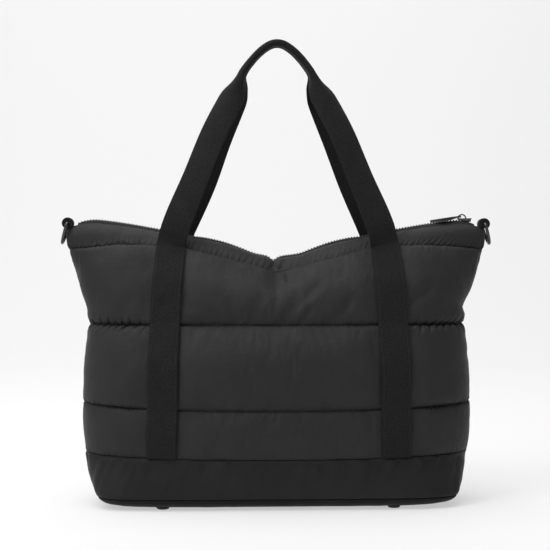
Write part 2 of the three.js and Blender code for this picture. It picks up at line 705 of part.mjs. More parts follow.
// D-ring hanging down from the middle of its straight bar, in the plane of Y and Z
function ringGeometry() {
  const path = new THREE.Path();
  const half = RING_HALF_WIDTH;
  const corner = RING_CORNER;
  const bowDepth = RING_LENGTH - corner;
  path.moveTo(-half + corner, 0);
  path.lineTo(half - corner, 0);
  path.absarc(half - corner, -corner, corner, Math.PI / 2, 0, true);
  path.absellipse(0, -corner, half, bowDepth, 0, -Math.PI, true);
  path.absarc(-half + corner, -corner, corner, Math.PI, Math.PI / 2, true);
  const outline = path.getSpacedPoints(RING_STEPS).slice(0, -1);
  const route = outline.map((point) => new THREE.Vector3(0, point.x, point.y));
  const throughRing = new THREE.Vector3(1, 0, 0);
  const loops = route.map((point, index) => {
    const before = route[(index + route.length - 1) % route.length];
    const after = route[(index + 1) % route.length];
    return wireSection(point, after.clone().sub(before).normalize(), throughRing, RING_WIRE);
  });
  return loftGeometry(loops, true);
}

function footGeometry() {
  const outline = [
    [0, 0], [FOOT_FLAT_RADIUS, 0], [FOOT_RADIUS * 0.92, FOOT_HEIGHT * 0.2], [FOOT_RADIUS, FOOT_HEIGHT * 0.5],
    [FOOT_RADIUS * 0.97, FOOT_HEIGHT], [0, FOOT_HEIGHT],
  ];
  const geometry = new THREE.LatheGeometry(outline.map(([r, z]) => new THREE.Vector2(r, z)), FOOT_SIDES);
  geometry.rotateX(Math.PI / 2);
  return geometry;
}

const LOOKS = {
  shell: { color: 0x323233, roughness: 0.62, metalness: 0 },
  base: { color: 0x28282a, roughness: 0.7, metalness: 0 },
  webbing: { color: 0x262626, roughness: 0.9, metalness: 0 },
  zip: { color: 0x1c1c1d, roughness: 0.6, metalness: 0 },
  metal: { color: 0x161617, roughness: 0.3, metalness: 0.8 },
  foot: { color: 0x151516, roughness: 0.5, metalness: 0 },
};

const bag = new THREE.Group();

function addPiece(name, geometry, look) {
  const mesh = new THREE.Mesh(geometry, new THREE.MeshStandardMaterial(LOOKS[look]));
  mesh.name = name;
  bag.add(mesh);
  return mesh;
}

const panel = panelGeometry();
addPiece('front_panel', panel, 'shell');
addPiece('back_panel', mirrored(panel), 'shell');
addPiece('base_panel', baseGeometry(), 'base');
addPiece('front_handle', handleGeometry('across'), 'webbing');
addPiece('back_handle', mirrored(handleGeometry('backAcross')), 'webbing');

const tape = tapeGeometry();
addPiece('zip_tape_front', tape, 'zip');
addPiece('zip_tape_back', mirrored(tape), 'zip');
addPiece('zip_chain', chainGeometry(), 'zip');
addPiece('zip_slider', sliderGeometry(), 'metal').position.set(SLIDER_ACROSS, 0, 0);
const puller = addPiece('zip_puller', pullerGeometry(), 'metal');
puller.position.set(
  SLIDER_ACROSS + BRIDGE_ACROSS - BRIDGE_RADIUS * Math.cos(BRIDGE_START),
  0,
  PLATE_TOP + BRIDGE_RADIUS * Math.sin(BRIDGE_START),
);
puller.rotation.y = -PULLER_DROOP;

for (const [name, side] of [['left', -1], ['right', 1]]) {
  const corner = new THREE.Group();
  corner.rotation.z = side > 0 ? 0 : Math.PI;
  bag.add(corner);
  const loop = addPiece(`${name}_ring_loop`, loopGeometry(), 'webbing');
  loop.position.set(LOOP_ACROSS, 0, LOOP_HEIGHT);
  const ring = addPiece(`${name}_ring`, ringGeometry(), 'metal');
  ring.position.set(LOOP_ACROSS, 0, LOOP_HEIGHT - LOOP_RADIUS + LOOP_WEBBING + RING_WIRE / 2 + SEAT_GAP);
  ring.rotation.y = -RING_LEAN;
  corner.add(loop, ring);
}

for (const [row, out] of [['front', -FOOT_OUT], ['back', FOOT_OUT]]) {
  for (const [name, across] of [['left', -FOOT_ACROSS], ['right', FOOT_ACROSS]]) {
    addPiece(`base_foot_${row}_${name}`, footGeometry(), 'foot').position.set(across, out, 0);
  }
}

export default bag;
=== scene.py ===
import math

import bpy
import numpy as np
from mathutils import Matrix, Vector


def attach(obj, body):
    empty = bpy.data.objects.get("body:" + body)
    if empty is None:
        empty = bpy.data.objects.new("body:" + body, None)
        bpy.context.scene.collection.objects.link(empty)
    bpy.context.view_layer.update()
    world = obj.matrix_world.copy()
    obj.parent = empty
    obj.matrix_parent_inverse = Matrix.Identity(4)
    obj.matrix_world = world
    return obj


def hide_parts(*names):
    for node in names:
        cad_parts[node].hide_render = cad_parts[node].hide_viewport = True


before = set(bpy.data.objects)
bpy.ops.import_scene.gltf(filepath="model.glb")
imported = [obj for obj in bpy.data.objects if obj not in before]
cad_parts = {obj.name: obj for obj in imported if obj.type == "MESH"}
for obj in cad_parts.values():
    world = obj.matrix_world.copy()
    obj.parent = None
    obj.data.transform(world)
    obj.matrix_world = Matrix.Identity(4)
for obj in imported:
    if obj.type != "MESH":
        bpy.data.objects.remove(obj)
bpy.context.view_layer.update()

# Values are in millimetres, as in the part. Meshes are made in metres.
METRES = 0.001

# Heights of the lower sewn lines in the middle, and how far two of them rise to the sides
BASE_SEAM_HEIGHT = 55
SEAM_THREE_HEIGHT = 107
SEAM_TWO_HEIGHT = 198.5
BASE_SEAM_RISE = 3.4
SEAM_THREE_RISE = 5.4
SEAM_TWO_LEVEL = 2
LEG_TOP_LEVEL = 3
TOP_LEVEL = 4

# Level sections of a panel: level, half width, half depth, squareness.
# Level 0 is the base seam, 1 seam three, 2 seam two, 3 seam one and 4 the top edge.
HALF_WIDTH, HALF_DEPTH, SQUARENESS = 1, 2, 3
SECTIONS = np.array([
    (0, 212, 70, 2.6),
    (0.5, 214.5, 73, 2.5),
    (1, 215, 73, 2.5),
    (1.5, 213.5, 70, 2.5),
    (1.9, 210.6, 64, 2.5),
    (2, 208.2, 62, 2.5),
    (2.1, 210.4, 60.2, 2.5),
    (2.2, 210.8, 58, 2.5),
    (2.5, 219, 51, 2.5),
    (3, 231, 34, 2.5),
    (3.5, 234, 22, 2.7),
    (4, 233, 9, 3),
])

# The drooping top: distance from the middle, heights of seam one, top edge and zip
SEAM_ONE, TOP_EDGE, RIDGE = 1, 2, 3
TOP_LINE = np.array([
    (0, 257.8, 264.5, 269.3),
    (5, 258.5, 267.6, 272.3),
    (9.5, 259.6, 269.8, 274.4),
    (26, 263, 273.4, 277.6),
    (40, 266.8, 278.9, 283),
    (58, 271.4, 285.2, 289.4),
    (78, 276.3, 289.8, 294.2),
    (98, 281, 292.4, 297),
    (131, 284.6, 299.2, 303.9),
    (172, 285.3, 306.4, 311),
    (200, 283.6, 309.4, 314.3),
    (213, 282.1, 309, 313.3),
    (221, 281.6, 307.6, 310.6),
    (227, 280.9, 306.3, 307.8),
    (231, 280.4, 305.4, 306.4),
    (235, 280, 304.3, 305.5),
])
NOTCH_ACROSS = -5
NOTCH_REACH = 14

# Padding: how far the four channels swell, from the base up, and how it fades and is pressed down
CHANNEL_LOFTS = np.array([7, 11, 10, 6])
CHANNEL_ROWS = (16, 26, 26, 16)
LIP_RADIUS = 6
LIP_SHARE = 0.2
SIDE_LIP_SHARE = 0.58
DOME_POWER = 0.75
DOME_SAG = 0.86
BAND_RISE = 1.6
SIDE_SEAM_FADE = 1
SIDES_FROM, SIDES_TO = 132, 165
STRAP_PRESS_MARGIN = 0.4
STRAP_PRESS_REACH = 20
PANEL_WALL = 3
SIDE_SEAM_HALF_GAP = 0.1
# The two panels close that gap and lap a little, so that no light shows through the side seams
SIDE_SEAM_CLOSE = 0.15
COLUMN_SPACING = 0.64
INNER_COLUMN_STEP = 4
INNER_ROW_STEP = 2

# Soft dents in each panel: across, level, reach across, reach in levels, depth
DENTS = (
    (1, 2.9, 15, 0.3, 8),
    (-52, 2.72, 22, 0.2, 3),
    (56, 2.68, 24, 0.2, 3),
)

# Webbing of the handles
STRAP_WIDTH = 32
STRAP_THICKNESS = 1.8
STRAP_LIFT = 0.3

# Middle line of a handle's sewn leg: level, distance from the middle of the bag
LEG_LINE = np.array([
    (0, 125.4),
    (1, 123.6),
    (2, 121.6),
    (2.5, 119.6),
    (3, 117),
])

# How far the sewn legs stand out of the stitched surface, by level: they bridge the sewn lines
LEG_STANDS = np.array([
    (0, 0.2),
    (0.5, 5),
    (1, 3.2),
    (1.5, 8.4),
    (2, 4.2),
    (2.5, 7.4),
    (2.8, 4.2),
    (3, 0.6),
])


# Curves through tables and smooth noise

def curve_through(keys, values, at):
    """Values at places on a smooth curve through known values at keys."""
    at = np.asarray(at, float)
    shape = (-1,) + (1,) * (values.ndim - 1)
    rows = np.arange(len(keys))
    before = np.maximum(rows - 1, 0)
    after = np.minimum(rows + 1, len(keys) - 1)
    slopes = (values[after] - values[before]) / (keys[after] - keys[before]).reshape(shape)
    row = np.searchsorted(keys[1:-1], at, side="left")
    per_value = at.shape + (1,) * (values.ndim - 1)
    span = (keys[row + 1] - keys[row]).reshape(per_value)
    t = np.clip((at - keys[row]).reshape(per_value) / span, 0, 1)
    rise = t * t * (3 - 2 * t)
    start = t * (1 - t) ** 2 * span * slopes[row]
    end = t * t * (t - 1) * span * slopes[row + 1]
    return values[row] * (1 - rise) + values[row + 1] * rise + start + end


def along(table, column, at):
    """Value of a column of a table, by its first column."""
    return curve_through(table[:, 0], table[:, column], at)


def same_shape(first, second):
    return np.broadcast_arrays(np.asarray(first, float), np.asarray(second, float))


def points_at(x, y, z):
    return np.stack(np.broadcast_arrays(x, y, z), -1)


def smoothstep(value, low, high):
    t = np.clip((value - low) / (high - low), 0, 1)
    return t * t * (3 - 2 * t)


def smooth_noise(u, v, seed):
    """Smooth noise from -1 to 1, with about one bump in each unit square of u and v."""
    size = 256
    lattice = np.random.default_rng(seed).uniform(-1, 1, (size, size))
    u = np.asarray(u, float)
    v = np.asarray(v, float) + 0 * u
    column = np.floor(u).astype(int)
    row = np.floor(v).astype(int)
    ease_u = smoothstep(u - column, 0, 1)
    ease_v = smoothstep(v - row, 0, 1)

    def corner(right, up):
        return lattice[(row + up) % size, (column + right) % size]

    low = corner(0, 0) * (1 - ease_u) + corner(1, 0) * ease_u
    high = corner(0, 1) * (1 - ease_u) + corner(1, 1) * ease_u
    return low * (1 - ease_v) + high * ease_v


# The stitched surface of a panel, by turn round the bag and level

def top_line(column, x):
    off_centre = NOTCH_ACROSS * np.exp(-(x / NOTCH_REACH) ** 2)
    return along(TOP_LINE, column, np.abs(x - off_centre))


def side_rise(rise, x):
    return rise * (x / SECTIONS[0, HALF_WIDTH]) ** 2


def height_at(level, x):
    level, x = same_shape(level, x)
    seams = np.stack([
        BASE_SEAM_HEIGHT + side_rise(BASE_SEAM_RISE, x),
        SEAM_THREE_HEIGHT + side_rise(SEAM_THREE_RISE, x),
        np.full(x.shape, float(SEAM_TWO_HEIGHT)),
        top_line(SEAM_ONE, x),
        top_line(TOP_EDGE, x),
    ])
    below = np.clip(np.floor(level), 0, TOP_LEVEL - 1).astype(int)
    low = np.take_along_axis(seams, below[None], 0)[0]
    high = np.take_along_axis(seams, below[None] + 1, 0)[0]
    return low + (high - low) * (level - below)


def section_point(half_width, half_depth, squareness, turn):
    """Across and depth of a point of a rounded section: turn 0 is right, a quarter turn the front."""
    cosine = np.cos(turn)
    sine = np.sin(turn)
    reach = (np.abs(cosine) ** squareness + np.abs(sine) ** squareness) ** (-1 / squareness)
    return half_width * reach * cosine, -half_depth * reach * sine


def stitched(turn, level):
    """Points of the stitched surface of the front panel."""
    turn, level = same_shape(turn, level)
    x, y = section_point(
        along(SECTIONS, HALF_WIDTH, level),
        along(SECTIONS, HALF_DEPTH, level),
        along(SECTIONS, SQUARENESS, level),
        turn,
    )
    return points_at(x, y - SIDE_SEAM_HALF_GAP, height_at(level, x))


def turn_at(x, level):
    """Turn of the point of a level section at a distance across the bag."""
    squareness = along(SECTIONS, SQUARENESS, level)
    share = x / along(SECTIONS, HALF_WIDTH, level)
    depth = (1 - np.abs(share) ** squareness) ** (1 / squareness)
    return np.arctan2(depth, share)


def unit(vectors):
    return vectors / np.linalg.norm(vectors, axis=-1, keepdims=True)


def lengths_along(curve):
    """Distance of each point of a curve from its start."""
    return np.concatenate([[0], np.cumsum(np.linalg.norm(np.diff(curve, axis=0), axis=1))])


def turns_round(count):
    return np.arange(count) * 2 * np.pi / count


def strip_uvs(across, lengths):
    """Cloth coordinates of a loft, by place across its sections and length along it."""
    return np.stack(np.broadcast_arrays(across[None], lengths[:, None]), -1).reshape(-1, 2)


def outward_at(turn, level):
    step = 0.01
    up = stitched(turn, np.minimum(level + step, TOP_LEVEL)) - stitched(turn, np.maximum(level - step, 0))
    left = stitched(turn + step, level) - stitched(turn - step, level)
    return unit(np.cross(up, left))


def strap_across(level):
    return along(LEG_LINE, 1, level)


def near_strap(x, level, reach):
    """1 under a handle's leg, fading to 0 beside it."""
    beside = np.abs(np.abs(x) - strap_across(level)) - STRAP_WIDTH / 2 - STRAP_PRESS_MARGIN
    return (1 - smoothstep(beside, 0, reach)) * (level <= LEG_TOP_LEVEL)


def swell_at(turn, level, x):
    """How far the padding stands out of the stitched surface."""
    channel = np.minimum(np.floor(level), TOP_LEVEL - 1).astype(int)
    within = level - channel
    low = height_at(channel, x)
    high = height_at(channel + 1, x)
    from_seam = np.minimum(within, 1 - within) * (high - low)
    lip = np.sqrt(1 - (1 - np.clip(from_seam / LIP_RADIUS, 0, 1)) ** 2)
    dome = np.maximum(np.sin(np.pi * within ** DOME_SAG), 0) ** DOME_POWER
    band = np.maximum(np.sin(np.pi * within ** BAND_RISE), 0)
    lip_share = LIP_SHARE + (SIDE_LIP_SHARE - LIP_SHARE) * smoothstep(np.abs(x), SIDES_FROM, SIDES_TO)
    crown = np.where(channel == TOP_LEVEL - 1, band, lip_share * lip + (1 - lip_share) * dome)
    side = smoothstep(np.minimum(np.abs(turn), np.abs(np.pi - turn)), 0, SIDE_SEAM_FADE)
    swell = CHANNEL_LOFTS[channel] * crown * side
    under_leg = np.minimum(swell, along(LEG_STANDS, 1, np.minimum(level, LEG_TOP_LEVEL)))
    swell = swell + (under_leg - swell) * near_strap(x, level, STRAP_PRESS_REACH)
    for across, dent_level, reach_across, reach_level, depth in DENTS:
        swell = swell - depth * np.exp(
            -((x - across) / reach_across) ** 2 - ((level - dent_level) / reach_level) ** 2
        )
    return swell


def padded(turn, level, lift):
    """Points at a distance outside the padded face of the front panel, without its fine wrinkles."""
    turn, level = same_shape(turn, level)
    points = stitched(turn, level)
    swell = swell_at(turn, level, points[..., 0]) + lift
    return points + outward_at(turn, level) * swell[..., None]


def leg_face(turn, level, lift):
    """Points at a distance outside the underside of a handle's sewn leg."""
    turn, level = same_shape(turn, level)
    stands = along(LEG_STANDS, 1, level) + STRAP_LIFT + lift
    return stitched(turn, level) + outward_at(turn, level) * stands[..., None]


# Making pieces

# What a mesh of the front is multiplied by, and one that is mirrored to the back
FRONT = (1, 1, 1)
BACK = (1, -1, 1)


def flipped(faces):
    return [face[::-1] for face in faces]


def make_piece(name, points, faces, material, slot, body, replaced, uvs=None, mirror=FRONT):
    """A smooth mesh piece in the given material that rides on a body and may stand for CAD nodes. The slot
    is not used.
    """
    mesh = bpy.data.meshes.new(name)
    points = np.asarray(points) * mirror * METRES
    mesh.from_pydata(points.tolist(), [], flipped(faces) if -1 in mirror else faces)
    mesh.materials.append(material)
    if uvs is not None:
        layer = mesh.uv_layers.new(name="cloth")
        corners = np.zeros(len(mesh.loops), int)
        mesh.loops.foreach_get("vertex_index", corners)
        layer.data.foreach_set("uv", (np.asarray(uvs)[corners] * METRES).ravel())
    mesh.shade_smooth()
    mesh.validate()
    piece = bpy.data.objects.new(name, mesh)
    bpy.context.scene.collection.objects.link(piece)
    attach(piece, body)
    if replaced:
        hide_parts(*replaced)
    return piece


def grid_faces(rows, columns, first=0, goes_round=False, closes=False):
    """Faces of a grid of points, with rows going up and columns going left as seen from outside."""
    row = np.arange(rows if closes else rows - 1)[:, None]
    column = np.arange(columns if goes_round else columns - 1)
    above = (row + 1) % rows
    beside = (column + 1) % columns
    corners = ((row, column), (above, column), (above, beside), (row, beside))
    quads = np.stack([first + up * columns + left for up, left in corners], -1)
    return quads.reshape(-1, 4).tolist()


def rim_faces(outer_rim, inner_rim, step):
    """Faces that join a row of points to one with a point for every few of its own."""
    outer_rim = outer_rim.tolist()
    inner_rim = inner_rim.tolist()
    return [
        outer_rim[i * step:(i + 1) * step + 1][::-1] + inner_rim[i:i + 2]
        for i in range(len(inner_rim) - 1)
    ]


def wall_mesh(outer, inner):
    """Points and faces of a closed wall between an outer grid and an inner one with fewer points."""
    rows, columns = outer.shape[:2]
    count = rows * columns
    points = np.concatenate([outer.reshape(-1, 3), inner.reshape(-1, 3)])
    faces = grid_faces(rows, columns)
    faces += flipped(grid_faces(*inner.shape[:2], count))
    near = np.arange(count).reshape(rows, columns)
    far = count + np.arange(inner.shape[0] * inner.shape[1]).reshape(inner.shape[:2])
    faces += rim_faces(near[-1], far[-1], INNER_COLUMN_STEP)
    faces += rim_faces(near[0][::-1], far[0][::-1], INNER_COLUMN_STEP)
    faces += rim_faces(near[:, 0], far[:, 0], INNER_ROW_STEP)
    faces += rim_faces(near[::-1, -1], far[::-1, -1], INNER_ROW_STEP)
    return points, faces


# Materials

# Most of a noise texture's values lie in this range
NOISE_RANGE = (0.3, 0.7)
# A wave texture repeats at this step of its scaled vector
WAVE_LENGTH = math.pi / 10


def set_inputs(tree, node, values):
    """Sets a node's inputs: a socket is linked to, and a number or colour is set on the input itself."""
    for key, value in values.items():
        if isinstance(value, bpy.types.NodeSocket):
            tree.links.new(value, node.inputs[key])
        else:
            node.inputs[key].default_value = (*value, 1) if isinstance(value, tuple) else value


def add_node(tree, kind, values, output, **settings):
    """An output of a new node."""
    node = tree.nodes.new(kind)
    for key, value in settings.items():
        setattr(node, key, value)
    set_inputs(tree, node, values)
    return node.outputs[output]


def new_material(name, colour, roughness):
    material = bpy.data.materials.new(name)
    material.use_nodes = True
    tree = material.node_tree
    shader = tree.nodes["Principled BSDF"]
    set_inputs(tree, shader, {"Base Color": colour, "Roughness": roughness})
    return material, tree, shader


def coordinates(tree, kind):
    return add_node(tree, "ShaderNodeTexCoord", {}, kind)


def noise_between(tree, vector, scale, detail, low=0, high=1):
    """Noise mapped to the range from low to high."""
    noise = add_node(
        tree, "ShaderNodeTexNoise", {"Scale": scale, "Detail": detail, "Vector": vector}, "Fac"
    )
    least, most = NOISE_RANGE
    return add_node(tree, "ShaderNodeMapRange", {
        "Value": noise, "From Min": least, "From Max": most, "To Min": low, "To Max": high,
    }, "Result")


def mixed_colours(tree, share, first, second):
    values = {"A": first, "B": second, "Factor": share}
    return add_node(tree, "ShaderNodeMix", values, "Result", data_type="RGBA")


def bump(tree, height, distance, strength, **before):
    """A normal with this bump, on top of the one before it."""
    values = {"Distance": distance, "Strength": strength, "Height": height, **before}
    return add_node(tree, "ShaderNodeBump", values, "Normal")


def weave_height(tree, vector, warp_spacing, weft_spacing):
    """Height of a plain weave, with yarns this far apart in metres."""
    heights = {}
    for number, (direction, spacing) in enumerate((("X", warp_spacing), ("Y", weft_spacing))):
        values = {"Scale": WAVE_LENGTH / spacing, "Vector": vector}
        heights[number] = add_node(tree, "ShaderNodeTexWave", values, "Fac", bands_direction=direction)
    return add_node(tree, "ShaderNodeMath", heights, "Value", operation="MAXIMUM")


def nylon(name, dark, light, roughness, yarn):
    """Matte woven nylon with soft unevenness."""
    material, tree, shader = new_material(name, dark, roughness)
    cloth = coordinates(tree, "UV")
    body = coordinates(tree, "Object")
    crumple = bump(tree, noise_between(tree, body, 170, 5), 0.0005, 0.35)
    set_inputs(tree, shader, {
        "Base Color": mixed_colours(tree, noise_between(tree, body, 22, 3), dark, light),
        "Roughness": noise_between(tree, body, 60, 4, roughness - 0.06, roughness + 0.06),
        "Normal": bump(tree, weave_height(tree, cloth, yarn, yarn), 0.0001, 0.5, Normal=crumple),
        "Sheen Weight": 0.05,
        "Sheen Roughness": 0.5,
        "Specular IOR Level": 0.2,
    })
    return material


def webbing(name, dark, light):
    """Thick ribbed webbing, matte, with yarns in both directions."""
    material, tree, shader = new_material(name, dark, 0.85)
    cloth = coordinates(tree, "UV")
    weave = weave_height(tree, cloth, 0.0016, 0.0011)
    speck = noise_between(tree, cloth, 480, 3)
    both = add_node(tree, "ShaderNodeMath", {0: weave, 1: speck}, "Value", operation="MULTIPLY")
    set_inputs(tree, shader, {
        "Base Color": mixed_colours(tree, both, dark, light),
        "Roughness": noise_between(tree, cloth, 60, 3, 0.78, 0.92),
        "Normal": bump(tree, weave, 0.0003, 0.8),
        "Sheen Weight": 0.04,
        "Specular IOR Level": 0.15,
    })
    return material


def thread(name, dark, light):
    """Twisted polyester thread."""
    material, tree, shader = new_material(name, dark, 0.6)
    body = coordinates(tree, "Object")
    twist = noise_between(tree, body, 2500, 2)
    set_inputs(tree, shader, {
        "Base Color": mixed_colours(tree, twist, dark, light), "Normal": bump(tree, twist, 0.0001, 0.6),
    })
    return material


def moulded(name, dark, light, roughness):
    """Moulded plastic with a fine uneven skin."""
    material, tree, shader = new_material(name, dark, roughness)
    body = coordinates(tree, "Object")
    skin = noise_between(tree, body, 900, 3)
    set_inputs(tree, shader, {
        "Base Color": mixed_colours(tree, skin, dark, light),
        "Roughness": noise_between(tree, body, 400, 3, roughness - 0.08, roughness + 0.08),
        "Normal": bump(tree, skin, 0.0001, 0.3),
    })
    return material


def black_metal(name, dark, light):
    """Gloss black plated metal, with faint handling marks in its gloss."""
    material, tree, shader = new_material(name, dark, 0.22)
    body = coordinates(tree, "Object")
    set_inputs(tree, shader, {
        "Base Color": mixed_colours(tree, noise_between(tree, body, 300, 4), dark, light),
        "Roughness": noise_between(tree, body, 700, 5, 0.16, 0.34),
        "Metallic": 0.6,
        "Coat Weight": 0.6,
        "Coat Roughness": 0.12,
    })
    return material


SHELL = nylon("shell_nylon", (0.0172, 0.0172, 0.0182), (0.0206, 0.0206, 0.0217), 0.6, 0.0006)
BASE = nylon("base_nylon", (0.0094, 0.0094, 0.0104), (0.0126, 0.0126, 0.0137), 0.62, 0.0007)
# The base nylon made much darker for the bottom below the edge seam: painted shade where the base faces the
# floor.
SHADED_UNDERSIDE = nylon("underside_painted_shade", (0.003, 0.003, 0.0032), (0.0042, 0.0042, 0.0044), 0.8, 0.0007)
WEBBING = webbing("webbing", (0.0072, 0.0072, 0.007), (0.021, 0.021, 0.0205))
THREAD = thread("thread", (0.006, 0.006, 0.006), (0.011, 0.011, 0.011))
TAPE = webbing("zip_tape", (0.018, 0.018, 0.018), (0.03, 0.03, 0.03))
COIL = moulded("zip_coil", (0.013, 0.013, 0.0135), (0.021, 0.021, 0.021), 0.42)
FOOT = moulded("foot_plastic", (0.012, 0.012, 0.0125), (0.02, 0.02, 0.02), 0.5)
METAL = black_metal("black_metal", (0.026, 0.026, 0.026), (0.05, 0.05, 0.05))


# Quilted panels

# Puckers at the sewn lines: level, spacing, reach above the line and below it, depth, and the distances
# from the middle of the bag between which they grow to that depth
EVERYWHERE = (-2, -1)
PUCKERS = (
    (0, 5.6, 4, 2, 0.8, *EVERYWHERE),
    (0, 4.4, 3, 1, 1.4, 130, 160),
    (1, 3.3, 3.2, 2.2, 1.3, *EVERYWHERE),
    (1, 5, 4, 3.4, 2.6, 135, 165),
    (1, 3.1, 1.8, 1.6, 2, 125, 150),
    (2, 3.8, 4.6, 1.6, 1.5, *EVERYWHERE),
    (2, 9.6, 5, 6, 5.6, 132, 160),
    (2, 4.7, 3, 3, 2.4, 132, 160),
    (3, 5.7, 6.5, 1.4, 1.9, *EVERYWHERE),
    (3, 3.9, 2.6, 1, 1.5, *EVERYWHERE),
    (4, 7, 3, 4, 0.3, *EVERYWHERE),
)
# How far puckers lean and wander and how strong they are, how much that changes, and over what distance:
# for the lean in millimetres, for the rest in puckers
PUCKER_LEAN = 0.55
LEAN_CHANGE, LEAN_CHANGE_SPACING = 0.3, 45
WANDER, WANDER_SPACING = 0.45, 2.5
STRENGTH, STRENGTH_CHANGE, STRENGTH_SPACING = 0.6, 0.4, 1.7
REACH_CHANGE, REACH_CHANGE_SPACING = 0.5, 2
# Rows of the noise, or steps between rows, that keep its uses apart
WANDER_ROW, STRENGTH_ROW, LEAN_ROW, REACH_ROW, JAG_ROW = 0.5, 7.5, 7.3, 5.1, 3.7
# Relief fades in at this distance beside the legs and, in turns, at the side seams
STRAP_CLEAR = 6
RELIEF_SIDE_FADE = 0.08
LEG_PUCKER_SPACING = 3.4
LEG_PUCKER_REACH = 3.5
LEG_PUCKER_DEPTH = 0.6
LEG_PUCKER_SHIFT = 9
LEG_PUCKER_FROM, LEG_PUCKER_TO = 0.3, 2

# How far the sewn lines are drawn in: level, half width, depth in the middle and at the sides
SEAM_SINKS = (
    (0, 0.8, 0.8, 0.8),
    (1, 0.8, 1.3, 2),
    (2, 0.9, 1.4, 3),
    (3, 1, 1.7, 2.2),
)
SEAM_JAG = 1.1
SEAM_JAG_SPACING = 2.6
UNEVEN_SPACING = 28
UNEVEN_LEAN = 60
UNEVEN_DEPTH = 0.6
UNEVEN_SEAM_FADE = 0.2
FOLD_SEAM_FADE = 0.04

# A crease that the filling makes in the outline of the right side
CREASE_HEIGHT = 217.5
CREASE_REACH_UP = 17
CREASE_REACH_DOWN = 5.5
CREASE_DEPTH = 3.4
CREASE_FROM, CREASE_TO = 178, 206

# Soft folds of the front: from across and height, to across and height, width, depth
FOLDS = (
    (-13, 268.5, -5.5, 262, 1.8, 1.8),
    (-6, 263, 0, 258.5, 2, 1.6),
    (6.5, 269, 2.5, 258.5, 1.9, 2.2),
    (0, 251, 7, 247, 3, 2.2),
    (9.5, 253, 9, 244, 2, -0.9),
    (20, 231, 4, 201, 6, 2),
    (42, 241, 20, 219, 5, 1.7),
    (33, 214, 25, 202, 4, 1.7),
    (76, 224, 62, 204, 6, 1.8),
    (-53, 220, -44, 203, 6, 1.3),
    (-20, 226, -30, 204, 7, 1.1),
    (140, 220, 166, 238, 6, 3),
    (-170, 206, -160, 226, 6, 1.2),
)

# Simulated filling of the channels
SIM_COLUMN_SPACING = 3.2
SIM_CHANNEL_ROWS = (14, 24, 23, 9)
SIM_FRAMES = 24
SIM_START_SHARE = 0.72
SIM_CAP = 7
SIM_START_UNEVENNESS = 0.25
SIM_CALM_COLUMNS = 5
SIM_WRINKLE_SHARE = 0.45
SIM_BAND_SHARE = 0.35


def panel_turns(spacing):
    """Turns of a panel's columns, evenly spaced along seam two, and their places along it."""
    fine = np.linspace(0, np.pi, 2001)
    place = lengths_along(stitched(fine, SEAM_TWO_LEVEL))
    count = round(place[-1] / spacing / INNER_COLUMN_STEP) * INNER_COLUMN_STEP
    even = np.linspace(0, place[-1], count + 1)
    return np.interp(even, place, fine), even - place[-1] / 2


def panel_levels(channel_rows):
    """Levels of a panel's rows, closer together beside the sewn lines."""
    levels = [np.zeros(1)]
    for channel, rows in enumerate(channel_rows):
        within = np.arange(1, rows + 1) / rows
        levels.append(channel + (1 - np.cos(np.pi * within)) / 2)
    return np.concatenate(levels)


def start_points(turn, level):
    """The panel before its filling swells."""
    flat = stitched(turn, level)
    return flat + (padded(turn, level, 0) - flat) * SIM_START_SHARE


def from_line(level):
    """How far a level is from the nearest sewn line or edge."""
    return np.abs(level - np.round(level))


def simulated_moves(turns, levels, seed):
    """How far a cloth simulation with pressure moves each point of a coarse grid of a panel."""
    turn, level = np.meshgrid(turns, levels)
    start = start_points(turn, level)
    x = start[..., 0]
    on_seam = from_line(level) < 1e-6
    at_side = (turn == turns[0]) | (turn == turns[-1])
    pinned = on_seam | at_side | (near_strap(x, level, 1) > 0.5)
    noise = np.random.default_rng(seed).uniform(-1, 1, level.shape) * SIM_START_UNEVENNESS
    uneven = start + outward_at(turn, level) * (noise * ~pinned)[..., None]
    mesh = bpy.data.meshes.new("quilt_simulation")
    mesh.from_pydata((uneven.reshape(-1, 3) * METRES).tolist(), [], grid_faces(*level.shape))
    cloth_object = bpy.data.objects.new("quilt_simulation", mesh)
    scene = bpy.context.scene
    scene.collection.objects.link(cloth_object)
    sewn = cloth_object.vertex_groups.new(name="sewn")
    sewn.add(np.flatnonzero(pinned.ravel()).tolist(), 1, "REPLACE")
    cloth = cloth_object.modifiers.new("filling", "CLOTH")
    settings = cloth.settings
    settings.vertex_group_mass = "sewn"
    settings.quality = 6
    settings.mass = 0.2
    settings.tension_stiffness = 25
    settings.compression_stiffness = 25
    settings.shear_stiffness = 8
    settings.bending_stiffness = 0.4
    settings.use_pressure = True
    settings.uniform_pressure_force = 4
    settings.shrink_min = -0.012
    settings.effector_weights.gravity = 0
    cloth.point_cache.frame_end = SIM_FRAMES
    for number in range(1, SIM_FRAMES + 1):
        scene.frame_set(number)
    settled = cloth_object.evaluated_get(bpy.context.evaluated_depsgraph_get())
    points = np.zeros(level.size * 3)
    settled.data.vertices.foreach_get("co", points)
    scene.frame_set(1)
    bpy.data.objects.remove(cloth_object)
    bpy.data.meshes.remove(mesh)
    moves = points.reshape(start.shape) / METRES - start
    distance = np.linalg.norm(moves, axis=-1, keepdims=True)
    return moves * np.minimum(1, SIM_CAP / np.maximum(distance, 1e-9))


def calmed(moves, levels):
    """Simulated moves with their sharp wrinkles made shallower, most of all in the top band."""
    reach = 3 * SIM_CALM_COLUMNS
    offsets = np.arange(-reach, reach + 1)
    weights = np.exp(-(offsets / SIM_CALM_COLUMNS) ** 2)
    weights = weights / weights.sum()
    wide = np.pad(moves, ((0, 0), (reach, reach), (0, 0)), mode="edge")
    columns = moves.shape[1]
    smooth = sum(weight * wide[:, i:i + columns] for i, weight in enumerate(weights))
    share = np.where(levels > LEG_TOP_LEVEL, SIM_BAND_SHARE, 1)[:, None, None]
    return share * (smooth + SIM_WRINKLE_SHARE * (moves - smooth))


